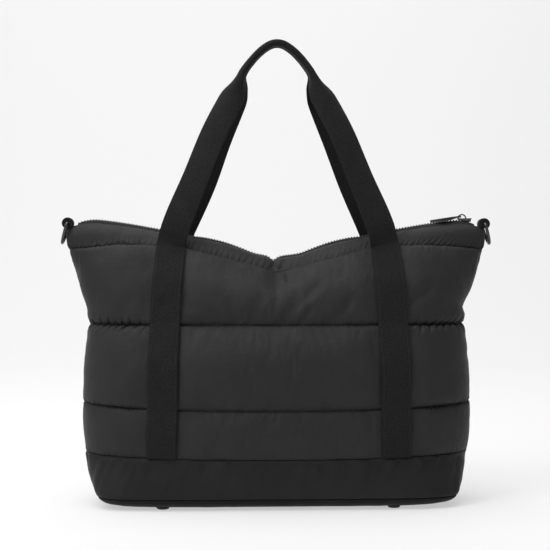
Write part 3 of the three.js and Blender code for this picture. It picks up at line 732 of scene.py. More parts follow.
def swollen_points(turns, levels, seed):
    turn, level = np.meshgrid(turns, levels)
    coarse_turns = panel_turns(SIM_COLUMN_SPACING)[0]
    coarse_levels = panel_levels(SIM_CHANNEL_ROWS)
    moves = calmed(simulated_moves(coarse_turns, coarse_levels, seed), coarse_levels)
    by_level = curve_through(coarse_levels, moves, levels)
    fine = curve_through(coarse_turns, by_level.transpose(1, 0, 2), turns).transpose(1, 0, 2)
    return start_points(turn, level) + fine


def creases(place, spacing, seed):
    """Sharp creases from 0 to 1 about this far apart, uneven in place and strength."""
    place = place / spacing
    phase = place + WANDER * smooth_noise(place / WANDER_SPACING, WANDER_ROW, seed)
    change = STRENGTH_CHANGE * smooth_noise(place / STRENGTH_SPACING, STRENGTH_ROW, seed)
    return (STRENGTH + change) * np.maximum(np.cos(2 * np.pi * phase), 0) ** 2


def pucker_depth(place, level, points, seed):
    """Depth of the fine creases that run out of the sewn lines and out from under the legs."""
    x = points[..., 0]
    z = points[..., 2]
    depth = np.zeros(level.shape)
    # Each noise here has a seed of its own
    for number, (line, spacing, reach_up, reach_down, deep, grows_from, grows_to) in enumerate(PUCKERS):
        away = z - height_at(line, x)
        above = np.where(level >= line, 1, 0)
        change = smooth_noise(place / LEAN_CHANGE_SPACING, above * LEAN_ROW, seed + 50 + number)
        lean = away * (LEAN_CHANGE * change + PUCKER_LEAN)
        crease = creases(place + lean + above * spacing / 3, spacing, seed + 10 * number)
        reach = np.where(level >= line, reach_up, reach_down)
        steps = place / spacing / REACH_CHANGE_SPACING
        length = reach * (1 + REACH_CHANGE * smooth_noise(steps, above * REACH_ROW, seed + 5 + number))
        fade = np.exp(-(np.abs(away) / length) ** 2) * smoothstep(np.abs(away), 0, 1)
        grown = smoothstep(np.abs(x), grows_from, grows_to)
        depth += deep * crease * fade * grown * (np.abs(level - line) < 1)
    depth = depth * (1 - near_strap(x, level, STRAP_CLEAR))
    beside = np.abs(np.abs(x) - strap_across(level)) - STRAP_WIDTH / 2
    leg = creases(z + LEG_PUCKER_SHIFT * np.sign(x), LEG_PUCKER_SPACING, seed + 90)
    leg = leg * np.exp(-np.clip(beside - 1, 0, None) / LEG_PUCKER_REACH)
    leg = leg * smoothstep(beside, LEG_PUCKER_FROM, LEG_PUCKER_TO)
    uneven = smooth_noise(place / UNEVEN_SPACING + z / UNEVEN_LEAN, z / UNEVEN_SPACING, seed + 70)
    uneven = UNEVEN_DEPTH * uneven * smoothstep(from_line(level), 0, UNEVEN_SEAM_FADE)
    return depth + uneven + LEG_PUCKER_DEPTH * leg * (level < LEG_TOP_LEVEL)


def seam_sink(level, points, seed):
    """How far the thread draws the cloth in along the sewn lines, unevenly at the sides."""
    x = points[..., 0]
    depth = np.zeros(level.shape)
    sides = smoothstep(np.abs(x), SIDES_FROM, SIDES_TO)
    for line, width, middle_depth, side_depth in SEAM_SINKS:
        away = height_at(level, x) - height_at(line, x)
        drawn = middle_depth + (side_depth - middle_depth) * sides
        jag = SEAM_JAG * sides * smooth_noise(x / SEAM_JAG_SPACING, line * JAG_ROW, seed + 30)
        depth += drawn * np.exp(-((away - jag) / width) ** 2)
    return depth


def fold_depth(points, level):
    """Depth of the few longer folds."""
    x = points[..., 0]
    z = points[..., 2]
    depth = np.zeros(level.shape)
    for x0, z0, x1, z1, width, fold in FOLDS:
        run = np.array([x1 - x0, z1 - z0])
        share = ((x - x0) * run[0] + (z - z0) * run[1]) / np.dot(run, run)
        held = np.clip(share, 0, 1)
        distance = np.hypot(x - x0 - held * run[0], z - z0 - held * run[1])
        depth += fold * np.exp(-(distance / width) ** 2)
    depth = depth * (1 - near_strap(x, level, STRAP_CLEAR))
    return depth * smoothstep(from_line(level), 0, FOLD_SEAM_FADE)


def side_crease(points):
    """How far the crease in the right side draws points towards the middle of the bag."""
    away = points[..., 2] - CREASE_HEIGHT
    reach = np.where(away > 0, CREASE_REACH_UP, CREASE_REACH_DOWN)
    return CREASE_DEPTH * np.exp(-(away / reach) ** 2) * smoothstep(points[..., 0], CREASE_FROM, CREASE_TO)


def make_panel(name, node, seed, mirror):
    turns, places = panel_turns(COLUMN_SPACING)
    levels = panel_levels(CHANNEL_ROWS)
    turn, level = np.meshgrid(turns, levels)
    place = np.broadcast_to(places, level.shape)
    outward = outward_at(turn, level)
    outer = swollen_points(turns, levels, seed)
    depth = pucker_depth(place, level, outer, seed) + seam_sink(level, outer, seed)
    if mirror == FRONT:
        depth = depth + fold_depth(outer, level)
    side_fade = smoothstep(np.minimum(turn, np.pi - turn), 0, RELIEF_SIDE_FADE)
    outer = outer - outward * (depth * side_fade)[..., None]
    flat = stitched(turn, level)
    inner = (flat - outward * PANEL_WALL)[::INNER_ROW_STEP, ::INNER_COLUMN_STEP]
    inner[..., 1] = np.minimum(inner[..., 1], -SIDE_SEAM_HALF_GAP)
    for wall in (outer, inner):
        wall[..., 0] -= side_crease(wall)
        wall[..., 1] += SIDE_SEAM_CLOSE
    points, faces = wall_mesh(outer, inner)
    cloth = np.stack([place, flat[..., 2]], -1)
    inner_cloth = cloth[::INNER_ROW_STEP, ::INNER_COLUMN_STEP]
    uvs = np.concatenate([cloth.reshape(-1, 2), inner_cloth.reshape(-1, 2)])
    piece = make_piece(name, points, faces, SHELL, "shell_nylon", "bag", [node], uvs, mirror)


make_panel("front_panel_quilt", "front_panel", 11, FRONT)
make_panel("back_panel_quilt", "back_panel", 23, BACK)


# Lofted pieces

def loft_mesh(loops, closes=False):
    """Points and faces of a solid through a row of closed loops, capped unless the row closes on itself."""
    loops = np.asarray(loops, float)
    count, size = loops.shape[:2]
    points = loops.reshape(-1, 3)
    faces = [[a, d, c, b] for a, b, c, d in grid_faces(count, size, 0, True, closes)]
    a, b, c, d = points[np.array(faces).T]
    volume = np.sum(a * (np.cross(b, c) + np.cross(c, d)))
    if not closes:
        faces.append(list(range(size))[::-1])
        faces.append(list(range((count - 1) * size, count * size)))
    return points, faces if volume > 0 else flipped(faces)


def join_meshes(meshes):
    """Points and faces of several meshes as one."""
    points = []
    faces = []
    first = 0
    for some_points, some_faces in meshes:
        points.append(np.asarray(some_points, float))
        faces += [[first + corner for corner in face] for face in some_faces]
        first += len(some_points)
    return np.concatenate(points), faces


def spline(points, steps):
    """Smooth curve through points, with the given number of steps from each to the next."""
    points = np.asarray(points, float)
    padded_points = np.concatenate([[2 * points[0] - points[1]], points, [2 * points[-1] - points[-2]]])
    curve = []
    for i in range(len(points) - 1):
        p0, p1, p2, p3 = padded_points[i:i + 4]
        pairs = ((p0, p1), (p1, p2), (p2, p3))
        before, here, after = (max(np.linalg.norm(b - a), 1e-6) ** 0.5 for a, b in pairs)
        start = ((p1 - p0) / before - (p2 - p0) / (before + here) + (p2 - p1) / here) * here
        end = ((p2 - p1) / here - (p3 - p1) / (here + after) + (p3 - p2) / after) * here
        t = np.arange(steps)[:, None] / steps
        rise = t * t * (3 - 2 * t)
        curve.append(p1 * (1 - rise) + p2 * rise + start * t * (1 - t) ** 2 + end * t * t * (t - 1))
    curve.append(points[-1:])
    return np.concatenate(curve)


def tangents_of(curve, closes=False):
    if closes:
        return unit(np.roll(curve, -1, 0) - np.roll(curve, 1, 0))
    return unit(np.gradient(curve, axis=0))


def wire_mesh(curve, plane_normal, diameter, sides, closes=False):
    """A round wire along a curve that lies in a plane."""
    tangents = tangents_of(curve, closes)
    normal = np.broadcast_to(np.asarray(plane_normal, float), curve.shape)
    in_plane = unit(np.cross(normal, tangents))
    angles = turns_round(sides)
    loops = curve[:, None] + diameter / 2 * (
        normal[:, None] * np.cos(angles)[None, :, None] + in_plane[:, None] * np.sin(angles)[None, :, None]
    )
    return loft_mesh(loops, closes)


# Stitches

STITCH_LENGTH = 2.7
STITCH_PITCH = 3.6
STITCH_WIDTH = 0.6
STITCH_SIDES = 5
STITCH_RINGS = ((-1, 0.35), (-0.6, 0.9), (0, 1), (0.6, 0.9), (1, 0.35))


def stitch_mesh(curve, normals):
    """A row of stitches along a curve, half sunk in the cloth below it."""
    place = lengths_along(curve)
    centres = np.arange(STITCH_PITCH / 2, place[-1], STITCH_PITCH)
    stitches = []
    angles = turns_round(STITCH_SIDES)
    reaches = np.array([-1, 1]) * STITCH_LENGTH / 2
    for centre in centres:
        ends = np.stack([np.interp(centre + reaches, place, curve[:, axis]) for axis in range(3)], -1)
        normal = np.array([np.interp(centre, place, normals[:, axis]) for axis in range(3)])
        middle = (ends[0] + ends[1]) / 2
        half = (ends[1] - ends[0]) / 2
        side = unit(np.cross(half, normal))
        up = unit(np.cross(side, half))
        loops = [
            middle + half * share + STITCH_WIDTH / 2 * radius * (
                side * np.cos(angles)[:, None] + up * np.sin(angles)[:, None]
            )
            for share, radius in STITCH_RINGS
        ]
        stitches.append(loft_mesh(loops))
    return join_meshes(stitches)


# Handles

# The free part of a handle from the bag to the middle of the grip: across on the front handle and on
# the right and left of the back one, distance out from the middle plane, height, and in degrees the
# outward twist and the fold of each half
FRONT_ACROSS, BACK_RIGHT_ACROSS, BACK_LEFT_ACROSS, OUT, HEIGHT, TWIST, FOLD = range(7)
HANDLE_ROWS = np.array([
    (112, 111.5, 109, 37, 303, 8, 4),
    (91.5, 87.5, 84, 32, 357, 23, 12),
    (71, 67, 65, 26, 409, 25, 16),
    (53, 51, 49.5, 20.5, 447, 20, 38),
    (45, 44, 43.5, 18.5, 462, 10, 64),
    (38, 38, 38, 16.5, 477, 0, 84),
    (26.7, 26.7, 26.7, 15.5, 492.5, 0, 88),
    (16, 16, 16, 15, 503, 0, 88),
    (6.5, 6.5, 6.5, 15, 508.8, 0, 88),
    (0, 0, 0, 15, 510, 0, 88),
])
BACK_GRIP_RISE = 2.4
LEG_BEND_LEVEL = 2.8
LEG_FOOT_LEVEL = 0.006
LEG_TURN_SHARE = 0.2
STRAP_FOLDS = (37, 82)
HALF_BENDS = (13, 4.4)
STEPS_BETWEEN_ROWS = 12
STRAP_STITCH_INSET = 2.4
STRAP_STITCH_LEVELS = (0.05, 2.98)
STITCH_LIFT = 0.05


def strap_outline():
    """Places across the strap and thicknesses there, once round its section."""
    half = STRAP_WIDTH / 2
    edge = STRAP_THICKNESS / 2
    rounding = half - edge + edge * np.sin(np.linspace(0, np.pi / 2, 5))
    flat = np.array([0, 0.9, 1.8, 2.7, 3.5, 5, 7, 9, 11, 13])
    half_places = np.concatenate([flat, rounding])
    places = np.concatenate([-half_places[:0:-1], half_places])
    into_edge = np.clip((np.abs(places) - half + edge) / edge, 0, 1)
    lift = edge * np.sqrt(1 - into_edge ** 2)
    return np.concatenate([places, places[-2:0:-1]]), np.concatenate([lift, -lift[-2:0:-1]])


PLACES, LIFTS = strap_outline()


def sewn_strap(side, levels):
    """Sections of a handle where it is sewn down on its panel."""
    level = np.broadcast_to(np.asarray(levels)[:, None], (len(levels), len(PLACES)))
    x = side * (strap_across(level) - PLACES)
    return leg_face(turn_at(x, level), level, STRAP_THICKNESS / 2 + LIFTS)


def folded_section(middle, tangent, outward, fold):
    """Section of the free strap, folded back about its middle line."""
    normal = unit(outward - tangent * np.dot(outward, tangent))
    across = unit(np.cross(normal, tangent))
    bend = np.interp(fold, STRAP_FOLDS, HALF_BENDS)
    angle = math.radians(max(fold, 1))
    bent = np.minimum(np.abs(PLACES), bend)
    straight = np.abs(PLACES) - bent
    turned = angle * bent / bend
    sideways = bend / angle * np.sin(turned) + straight * math.cos(angle) + LIFTS * np.sin(turned)
    backwards = bend / angle * (1 - np.cos(turned)) + straight * math.sin(angle)
    return (
        middle
        + across * (np.sign(PLACES) * sideways)[:, None]
        + normal * (LIFTS * np.cos(turned) - backwards)[:, None]
    )


def free_strap(side, across_column, grip_rise):
    """Sections of one half of the free strap, from the panel to the middle of the grip."""
    leg_levels = np.array([LEG_BEND_LEVEL, LEG_TOP_LEVEL])
    leg_x = strap_across(leg_levels)
    leg = leg_face(turn_at(leg_x, leg_levels), leg_levels, STRAP_THICKNESS / 2)
    height = HANDLE_ROWS[:, HEIGHT]
    height = height + grip_rise * smoothstep(height, height[0], height[-1])
    rows = np.stack([HANDLE_ROWS[:, across_column], -HANDLE_ROWS[:, OUT], height], -1)
    beyond = rows[-2:-1] * (-1, 1, 1)
    curve = spline(np.concatenate([leg, rows, beyond]), STEPS_BETWEEN_ROWS)
    tangents = tangents_of(curve)
    first = STEPS_BETWEEN_ROWS
    last = (len(HANDLE_ROWS) + 1) * STEPS_BETWEEN_ROWS
    panel_outward = outward_at(turn_at(leg_x[1], leg_levels[1]), leg_levels[1])
    bends = np.column_stack([height, np.radians(HANDLE_ROWS[:, TWIST]), HANDLE_ROWS[:, FOLD]])
    sections = []
    for index in range(first + 1, last + 1):
        turning = smoothstep((index - first) / (last - first), 0, LEG_TURN_SHARE)
        twist = float(along(bends, 1, curve[index, 2]))
        faced = np.array([math.sin(twist), -math.cos(twist), 0])
        outward = panel_outward * (1 - turning) + faced * turning
        fold = float(along(bends, 2, curve[index, 2]) * turning)
        section = folded_section(curve[index], tangents[index], outward, fold)
        sections.append(section if side > 0 else section * (-1, 1, 1))
    return np.array(sections)


def make_handle(name, node, right_column, left_column, grip_rise, mirror):
    levels = panel_levels(CHANNEL_ROWS)
    levels = levels[levels <= LEG_TOP_LEVEL]
    levels[0] = LEG_FOOT_LEVEL
    right = np.concatenate([sewn_strap(1, levels), free_strap(1, right_column, grip_rise)])
    left = np.concatenate([sewn_strap(-1, levels), free_strap(-1, left_column, grip_rise)])
    loops = np.concatenate([right, left[-2::-1]])
    points, faces = loft_mesh(loops)
    uvs = strip_uvs(PLACES, lengths_along(loops.mean(1)))
    make_piece(name, points, faces, WEBBING, "webbing", "bag", [node], uvs, mirror)


def leg_stitch_rows():
    """Stitch rows along both edges of both legs on the front panel."""
    levels = np.linspace(*STRAP_STITCH_LEVELS, 160)
    inset = STRAP_WIDTH / 2 - STRAP_STITCH_INSET
    rows = []
    for side in (-1, 1):
        for place in (-inset, inset):
            x = side * (strap_across(levels) - place)
            turn = turn_at(x, levels)
            curve = leg_face(turn, levels, STRAP_THICKNESS + STITCH_LIFT)
            rows.append(stitch_mesh(curve, outward_at(turn, levels)))
    return join_meshes(rows)


make_handle("front_handle_webbing", "front_handle", FRONT_ACROSS, FRONT_ACROSS, 0, FRONT)
make_handle(
    "back_handle_webbing", "back_handle", BACK_RIGHT_ACROSS, BACK_LEFT_ACROSS, BACK_GRIP_RISE, BACK
)
leg_stitches = leg_stitch_rows()
make_piece("front_leg_stitches", *leg_stitches, THREAD, "webbing", "bag", [])
make_piece("back_leg_stitches", *leg_stitches, THREAD, "webbing", "bag", [], mirror=BACK)


# Base

# The base from the flat bottom up to the base seam: height, half width, half depth, squareness
BASE_SECTIONS = np.array([
    (3.1, 182, 55.5, 5),
    (6.4, 190.5, 62, 6),
    (12.5, 197, 66, 6),
    (23, 203.4, 68.5, 4.4),
    (37, 208.2, 70, 3.3),
    (54.8, 212, 70, 2.6),
])
BASE_WALL = 3
BASE_COLUMNS = 640
EDGE_ROWS = 10
BAND_ROWS = 40
EDGE_SEAM_HEIGHT = 12.5
EDGE_SEAM_WIDTH = 0.5
EDGE_SEAM_DEPTH = 1.3
EDGE_SEAM_REACH = 1.6
TOPSTITCH_DROP = 3
TOPSTITCH_STEPS = 900
BOTTOM_RINGS = (0.85, 0.65, 0.4, 0.15)
WRINKLE_DEPTH = 3.2
WRINKLE_SPACING = 15
WRINKLE_LEAN = 0.3
WRINKLE_WANDER, WRINKLE_WANDER_SPACING = 0.3, 14
WRINKLE_FADE = 22
WRINKLE_START = 4
# Shares of the folds and of the fine wrinkles, and what of the folds is left low down
FOLD_SHARE, FINE_SHARE, LOW_FOLD_SHARE = 0.7, 0.6, 0.35
FINE_STEPS = 2.1
# Heights over which the folds and the fine wrinkles change
FOLD_CHANGE_HEIGHT, FINE_CHANGE_HEIGHT = 70, 50


def base_ring(turn, height, inset):
    x, y = section_point(
        along(BASE_SECTIONS, HALF_WIDTH, height) - inset,
        along(BASE_SECTIONS, HALF_DEPTH, height) - inset,
        along(BASE_SECTIONS, SQUARENESS, height),
        turn,
    )
    upwards = (height - BASE_SECTIONS[0, 0]) / (BASE_SECTIONS[-1, 0] - BASE_SECTIONS[0, 0])
    return points_at(x, y, height + side_rise(BASE_SEAM_RISE, x) * upwards ** 2)


def base_wrinkles(turn, height):
    """How deep the soft folds are that run down from the base seam."""
    ring = base_ring(turn, height, 0)
    x = ring[..., 0] / WRINKLE_SPACING
    y = ring[..., 1] / WRINKLE_SPACING
    drop = BASE_SECTIONS[-1, 0] - height
    x = x + WRINKLE_LEAN * drop / WRINKLE_SPACING
    wander = WRINKLE_WANDER * smooth_noise(x, height / WRINKLE_WANDER_SPACING, 5)
    fold = smooth_noise(x + wander, y + height / FOLD_CHANGE_HEIGHT, 4)
    fine = smooth_noise(x * FINE_STEPS, y * FINE_STEPS + height / FINE_CHANGE_HEIGHT, 6)
    fade = np.exp(-drop / WRINKLE_FADE)
    fold = FOLD_SHARE * fold * (LOW_FOLD_SHARE + (1 - LOW_FOLD_SHARE) * fade)
    return WRINKLE_DEPTH * (fold + FINE_SHARE * fine * fade) * smoothstep(drop, 0, WRINKLE_START)


def make_base():
    turns = turns_round(BASE_COLUMNS)
    floor = BASE_SECTIONS[0, 0]
    below = EDGE_SEAM_HEIGHT - EDGE_SEAM_REACH
    above = EDGE_SEAM_HEIGHT + EDGE_SEAM_REACH
    heights = np.concatenate([
        np.linspace(floor, below, EDGE_ROWS, endpoint=False),
        np.linspace(below, above, EDGE_ROWS),
        np.linspace(above, BASE_SECTIONS[-1, 0], BAND_ROWS)[1:],
    ])
    turn, height = np.meshgrid(turns, heights)
    groove = EDGE_SEAM_DEPTH * np.exp(-((height - EDGE_SEAM_HEIGHT) / EDGE_SEAM_WIDTH) ** 2)
    inset = base_wrinkles(turn, height) + groove
    outer = base_ring(turn, height, inset)
    inner = base_ring(turn, height, inset + BASE_WALL)
    inner[..., 2] = np.maximum(inner[..., 2], floor + BASE_WALL)
    under = [outer[0] * (share, share, 1) for share in BOTTOM_RINGS]
    inside = [inner[0] * (share, share, 1) for share in BOTTOM_RINGS]
    outer = np.concatenate([under[::-1], outer])
    inner = np.concatenate([inside[::-1], inner])
    rows, columns = outer.shape[:2]
    count = rows * columns
    points = np.concatenate([
        outer.reshape(-1, 3), inner.reshape(-1, 3), [(0, 0, floor), (0, 0, floor + BASE_WALL)],
    ])
    faces = grid_faces(rows, columns, 0, True) + flipped(grid_faces(rows, columns, count, True))
    for column in range(columns):
        beside = (column + 1) % columns
        faces.append([column, beside, 2 * count])
        faces.append([count + beside, count + column, 2 * count + 1])
        top = count - columns
        faces.append([top + beside, top + column, count + top + column, count + top + beside])
    place = np.broadcast_to(turns * BASE_SECTIONS[-1, HALF_WIDTH], (rows, columns))
    cloth = np.stack([place, outer[..., 2]], -1).reshape(-1, 2)
    uvs = np.concatenate([cloth, cloth, [[0, 0], [0, 0]]])
    cloth_piece = make_piece("base_cloth", points, faces, BASE, "base_nylon", "bag", ["base_panel"], uvs)
    # Faces below the edge seam take the darker underside nylon, painted shade for the bottom that faces the
    # floor.
    cloth_piece.data.materials.append(SHADED_UNDERSIDE)
    for polygon in cloth_piece.data.polygons:
        polygon.material_index = int(polygon.center.z < EDGE_SEAM_HEIGHT * METRES)
    stitch_turns = np.linspace(0, 2 * np.pi, TOPSTITCH_STEPS)
    stitch_height = np.full(stitch_turns.shape, BASE_SECTIONS[-1, 0] - TOPSTITCH_DROP)
    row = base_ring(stitch_turns, stitch_height, base_wrinkles(stitch_turns, stitch_height))
    # Roughly outward: the section is much wider than deep
    outward = unit(row * (1, 4, 0))
    make_piece("base_topstitch", *stitch_mesh(row, outward), THREAD, "base_nylon", "bag", [])


make_base()


# Zip

ZIP_END_ACROSS = 221.5
CHAIN_WIDTH = 5.2
CHAIN_HEIGHT = 2.2
CHAIN_END_ACROSS = 213
TAPE_THICKNESS = 0.9
TAPE_DROP = 0.58
TAPE_STEPS = 260
TAPE_TUCK = 0.4
TAPE_MIDDLE_OUT, TAPE_MIDDLE_DROP = 0.12, 0.25
# Share of the way from the sewn edge to the teeth, and how far the tape bulges there
TAPE_SHAPE = ((0.04, 0), (0.25, 0), (0.45, 0.5), (0.65, 0.7), (0.88, 0.4), (1, 0))
TOOTH_PITCH = 1.6
BACK_TOOTH_DROP = 1.2
TOOTH_WIRE = 1.7
TOOTH_OVERLAP = 1
TOOTH_SIDES = 6
TOOTH_STEPS = 6
# The part of a half wave that a tooth arches through
TOOTH_ARCH_FROM, TOOTH_ARCH_SPAN = 0.12, 0.62


def zip_slope(x):
    step = 0.5
    return (top_line(RIDGE, x + step) - top_line(RIDGE, x - step)) / (2 * step)


def make_tape(name, node, mirror):
    """One tape of the zip, from the top edge of its panel in under the teeth."""
    x = np.linspace(-ZIP_END_ACROSS, ZIP_END_ACROSS, TAPE_STEPS)
    edge = stitched(turn_at(x, TOP_LEVEL), TOP_LEVEL)
    ridge = top_line(RIDGE, x) - CHAIN_HEIGHT * TAPE_DROP
    chain_side = -CHAIN_WIDTH / 2 + TAPE_TUCK
    upper = []
    for share, bulge in TAPE_SHAPE:
        y = edge[:, 1] + (chain_side - edge[:, 1]) * share
        z = edge[:, 2] + (ridge - edge[:, 2]) * share + bulge
        upper.append(points_at(x, y, z))
    upper.append(points_at(x, -TAPE_MIDDLE_OUT, ridge - TAPE_MIDDLE_DROP))
    upper = np.array(upper)
    lower = upper - (0, 0, TAPE_THICKNESS)
    loops = np.concatenate([upper, lower[::-1]]).transpose(1, 0, 2)
    points, faces = loft_mesh(loops)
    across = np.concatenate([upper[:, 0, 1], lower[::-1, 0, 1]])
    make_piece(name, points, faces, TAPE, "zip_tape", "bag", [node], strip_uvs(across, x), mirror)


def make_teeth():
    """Coil teeth that reach in from both sides in turn and close over each other in the middle."""
    places = np.arange(-ZIP_END_ACROSS + 1, CHAIN_END_ACROSS, TOOTH_PITCH)
    half = CHAIN_WIDTH / 2 - TOOTH_WIRE / 2
    reach = np.linspace(0, 1, TOOTH_STEPS)
    across = -half + (half + TOOTH_OVERLAP) * reach
    arch = CHAIN_HEIGHT - TOOTH_WIRE
    rise = arch * np.sin(np.pi * (TOOTH_ARCH_FROM + TOOTH_ARCH_SPAN * reach))
    teeth = []
    for index, x in enumerate(places):
        side = 1 if index % 2 else -1
        ridge = float(top_line(RIDGE, x))
        slope = float(zip_slope(x))
        lift = ridge - CHAIN_HEIGHT + TOOTH_WIRE / 2 + rise - (BACK_TOOTH_DROP if side > 0 else 0)
        curve = points_at(x - slope * rise, side * -across, lift)
        teeth.append(wire_mesh(curve, unit(np.array([1, 0, slope])), TOOTH_WIRE, TOOTH_SIDES))
    points, faces = join_meshes(teeth)
    make_piece("zip_teeth", points, faces, COIL, "zip_coil", "bag", ["zip_chain"])


make_tape("zip_tape_front_cloth", "zip_tape_front", FRONT)
make_tape("zip_tape_back_cloth", "zip_tape_back", BACK)
make_teeth()


# Slider and puller

SLIDER_ACROSS = 211
SLIDER_LENGTH = 16
SLIDER_WIDTH = 8.4
SLIDER_PLATE = 1.2
SLIDER_CORNER = 2.4
FLANGE_THICKNESS = 1
FLANGE_LEFT_DEPTH = 0.8
FLANGE_RIGHT_DEPTH = 2.8
FLANGE_SOFT = 0.25
FLANGE_ROUNDING, FLANGE_ROUNDING_POWER = 0.5, 6
PLATE_BEVEL = 0.35
POST_BEVEL = 0.1
PULLER_SOFT = 0.4
BEVEL_SHARE = 0.3
CORNER_STEPS = 7
LOWER_PLATE_LENGTH = 12
POST_LENGTH, POST_WIDTH, POST_ACROSS, POST_DEPTH = 3, 2.6, 3.75, 6
BRIDGE_ACROSS = -2.7
BRIDGE_RADIUS = 4.3
BRIDGE_START = math.radians(22)
BRIDGE_WIRE = 1.5
BRIDGE_SIDES = 14
PULLER_LENGTH = 32.5
PULLER_WIDTH = 8
PULLER_THICKNESS = 2.2
PULLER_DROOP = math.radians(8.6)
PULLER_BELLY = ((0.15, 0), (0.3, 1.6), (0.6, 1.9), (1, 0.7))
PULLER_EYE = 4.6
PULLER_EYE_RIM = 0.9
PULLER_CORNER = 2
PLATE_BOTTOM = 314.6
PLATE_TOP = PLATE_BOTTOM + SLIDER_PLATE


def rounded_outline(length, width, corner):
    """Points once round a rectangle with round corners."""
    quarter = np.linspace(0, np.pi / 2, CORNER_STEPS)
    outline = []
    for number, (x, y) in enumerate(((1, 1), (-1, 1), (-1, -1), (1, -1))):
        angle = quarter + number * np.pi / 2
        outline.append(np.stack([
            x * (length / 2 - corner) + corner * np.cos(angle),
            y * (width / 2 - corner) + corner * np.sin(angle),
        ], -1))
    return np.concatenate(outline)


def plate_mesh(length, width, corner, low, high, bevel):
    """A flat plate with round corners and softened edges."""
    some = bevel * BEVEL_SHARE
    loops = []
    for inset, height in (
        (bevel, low), (some, low + some), (0, low + bevel),
        (0, high - bevel), (some, high - some), (bevel, high),
    ):
        outline = rounded_outline(length - 2 * inset, width - 2 * inset, corner - inset)
        loops.append(np.column_stack([outline, np.full(len(outline), height)]))
    return loft_mesh(loops)


def flange_mesh(side):
    """Turned-down edge of the slider's top plate, deeper towards the end of the zip."""
    end = SLIDER_LENGTH / 2 - SLIDER_CORNER / 2
    soft = FLANGE_SOFT
    loops = []
    for share in np.linspace(0, 1, 9):
        x = -end + 2 * end * share
        depth = FLANGE_LEFT_DEPTH + (FLANGE_RIGHT_DEPTH - FLANGE_LEFT_DEPTH) * share
        outside = SLIDER_WIDTH / 2 - FLANGE_ROUNDING * abs(2 * share - 1) ** FLANGE_ROUNDING_POWER
        inside = outside - FLANGE_THICKNESS
        top = PLATE_BOTTOM + SLIDER_PLATE / 2
        bottom = PLATE_BOTTOM - depth
        section = (
            (inside, top), (outside, top), (outside, bottom + soft), (outside - soft, bottom),
            (inside + soft, bottom), (inside, bottom + soft),
        )
        loops.append([(x, side * y, z) for y, z in section])
    return loft_mesh(loops)


def make_slider():
    top = plate_mesh(SLIDER_LENGTH, SLIDER_WIDTH, SLIDER_CORNER, PLATE_BOTTOM, PLATE_TOP, PLATE_BEVEL)
    low = PLATE_BOTTOM - POST_DEPTH
    high = low + SLIDER_PLATE
    under = plate_mesh(LOWER_PLATE_LENGTH, CHAIN_WIDTH, SLIDER_CORNER, low, high, PLATE_BEVEL)
    into_plate = SLIDER_PLATE / 2
    post_points, post_faces = plate_mesh(
        POST_LENGTH, POST_WIDTH, POST_WIDTH / 3, low + into_plate, PLATE_BOTTOM + into_plate, POST_BEVEL
    )
    post = (post_points + (POST_ACROSS, 0, 0), post_faces)
    angles = np.linspace(np.pi, 0, 25)
    arch = points_at(BRIDGE_RADIUS * np.cos(angles), 0, PLATE_TOP + BRIDGE_RADIUS * np.sin(angles))
    foot = np.array([[-BRIDGE_RADIUS, 0, PLATE_TOP - into_plate]])
    route = np.concatenate([foot, arch, foot * (-1, 1, 1)]) + (BRIDGE_ACROSS, 0, 0)
    bridge = wire_mesh(route, (0, 1, 0), BRIDGE_WIRE, BRIDGE_SIDES)
    points, faces = join_meshes([top, under, post, bridge, flange_mesh(-1), flange_mesh(1)])
    points = points + (SLIDER_ACROSS, 0, 0)
    make_piece("slider_body", points, faces, METAL, "black_metal", "bag", ["zip_slider"])


def puller_outline(angles):
    """Distance from the middle of the eye to the edge of the bar, by direction."""
    eye = PULLER_EYE / 2 + PULLER_EYE_RIM
    half = PULLER_WIDTH / 2
    shoulder = np.linspace(-np.pi / 2, np.pi / 2, 15)
    nose = np.stack([eye * np.cos(shoulder), eye * np.sin(shoulder)], -1)
    bar = rounded_outline(PULLER_LENGTH - half, PULLER_WIDTH, PULLER_CORNER)
    bar[:, 0] -= (PULLER_LENGTH + half) / 2
    tip = bar[bar[:, 0] < -PULLER_LENGTH / 2]
    outline = np.concatenate([nose, [[-half, half]], tip, [[-half, -half]]])
    turns = np.arctan2(outline[:, 1], outline[:, 0])
    order = np.argsort(turns)
    return np.interp(angles, turns[order], np.linalg.norm(outline, axis=1)[order], period=2 * np.pi), turns


def make_puller():
    half = PULLER_THICKNESS / 2
    soft = PULLER_SOFT
    some = soft * BEVEL_SHARE
    outline_turns = np.unique(np.round(puller_outline(np.zeros(1))[1], 6))
    around = np.linspace(-np.pi, np.pi, 48, endpoint=False)
    angles = np.unique(np.concatenate([outline_turns, around]))
    edge = puller_outline(angles)[0]
    way = np.stack([np.cos(angles), np.sin(angles)], -1)
    # Once round the section, out from the eye to the edge and back: distance from the eye's middle, height
    loops = []
    for direction, distance in zip(way, edge):
        eye = PULLER_EYE / 2
        section = [
            (eye + soft, -half), (distance - soft, -half), (distance - some, -half + some),
            (distance, -half + soft), (distance, half - soft), (distance - some, half - some),
            (distance - soft, half), (eye + soft, half), (eye, half - soft), (eye, -half + soft),
        ]
        loops.append([(*(direction * reach), height) for reach, height in section])
    points, faces = loft_mesh(loops, True)
    belly = np.interp(-points[:, 0] / PULLER_LENGTH, *np.transpose(PULLER_BELLY))
    points[:, 2] -= belly * (points[:, 2] < 0)
    turn = -PULLER_DROOP
    x, y, z = points.T
    turned = points_at(
        x * math.cos(turn) + z * math.sin(turn), y, z * math.cos(turn) - x * math.sin(turn)
    )
    turned += (
        SLIDER_ACROSS + BRIDGE_ACROSS - BRIDGE_RADIUS * math.cos(BRIDGE_START),
        0,
        PLATE_TOP + BRIDGE_RADIUS * math.sin(BRIDGE_START),
    )
    make_piece("puller_bar", turned, faces, METAL, "black_metal", "zip_puller", ["zip_puller"])


make_slider()
make_puller()


# Corner loops, D-rings and feet

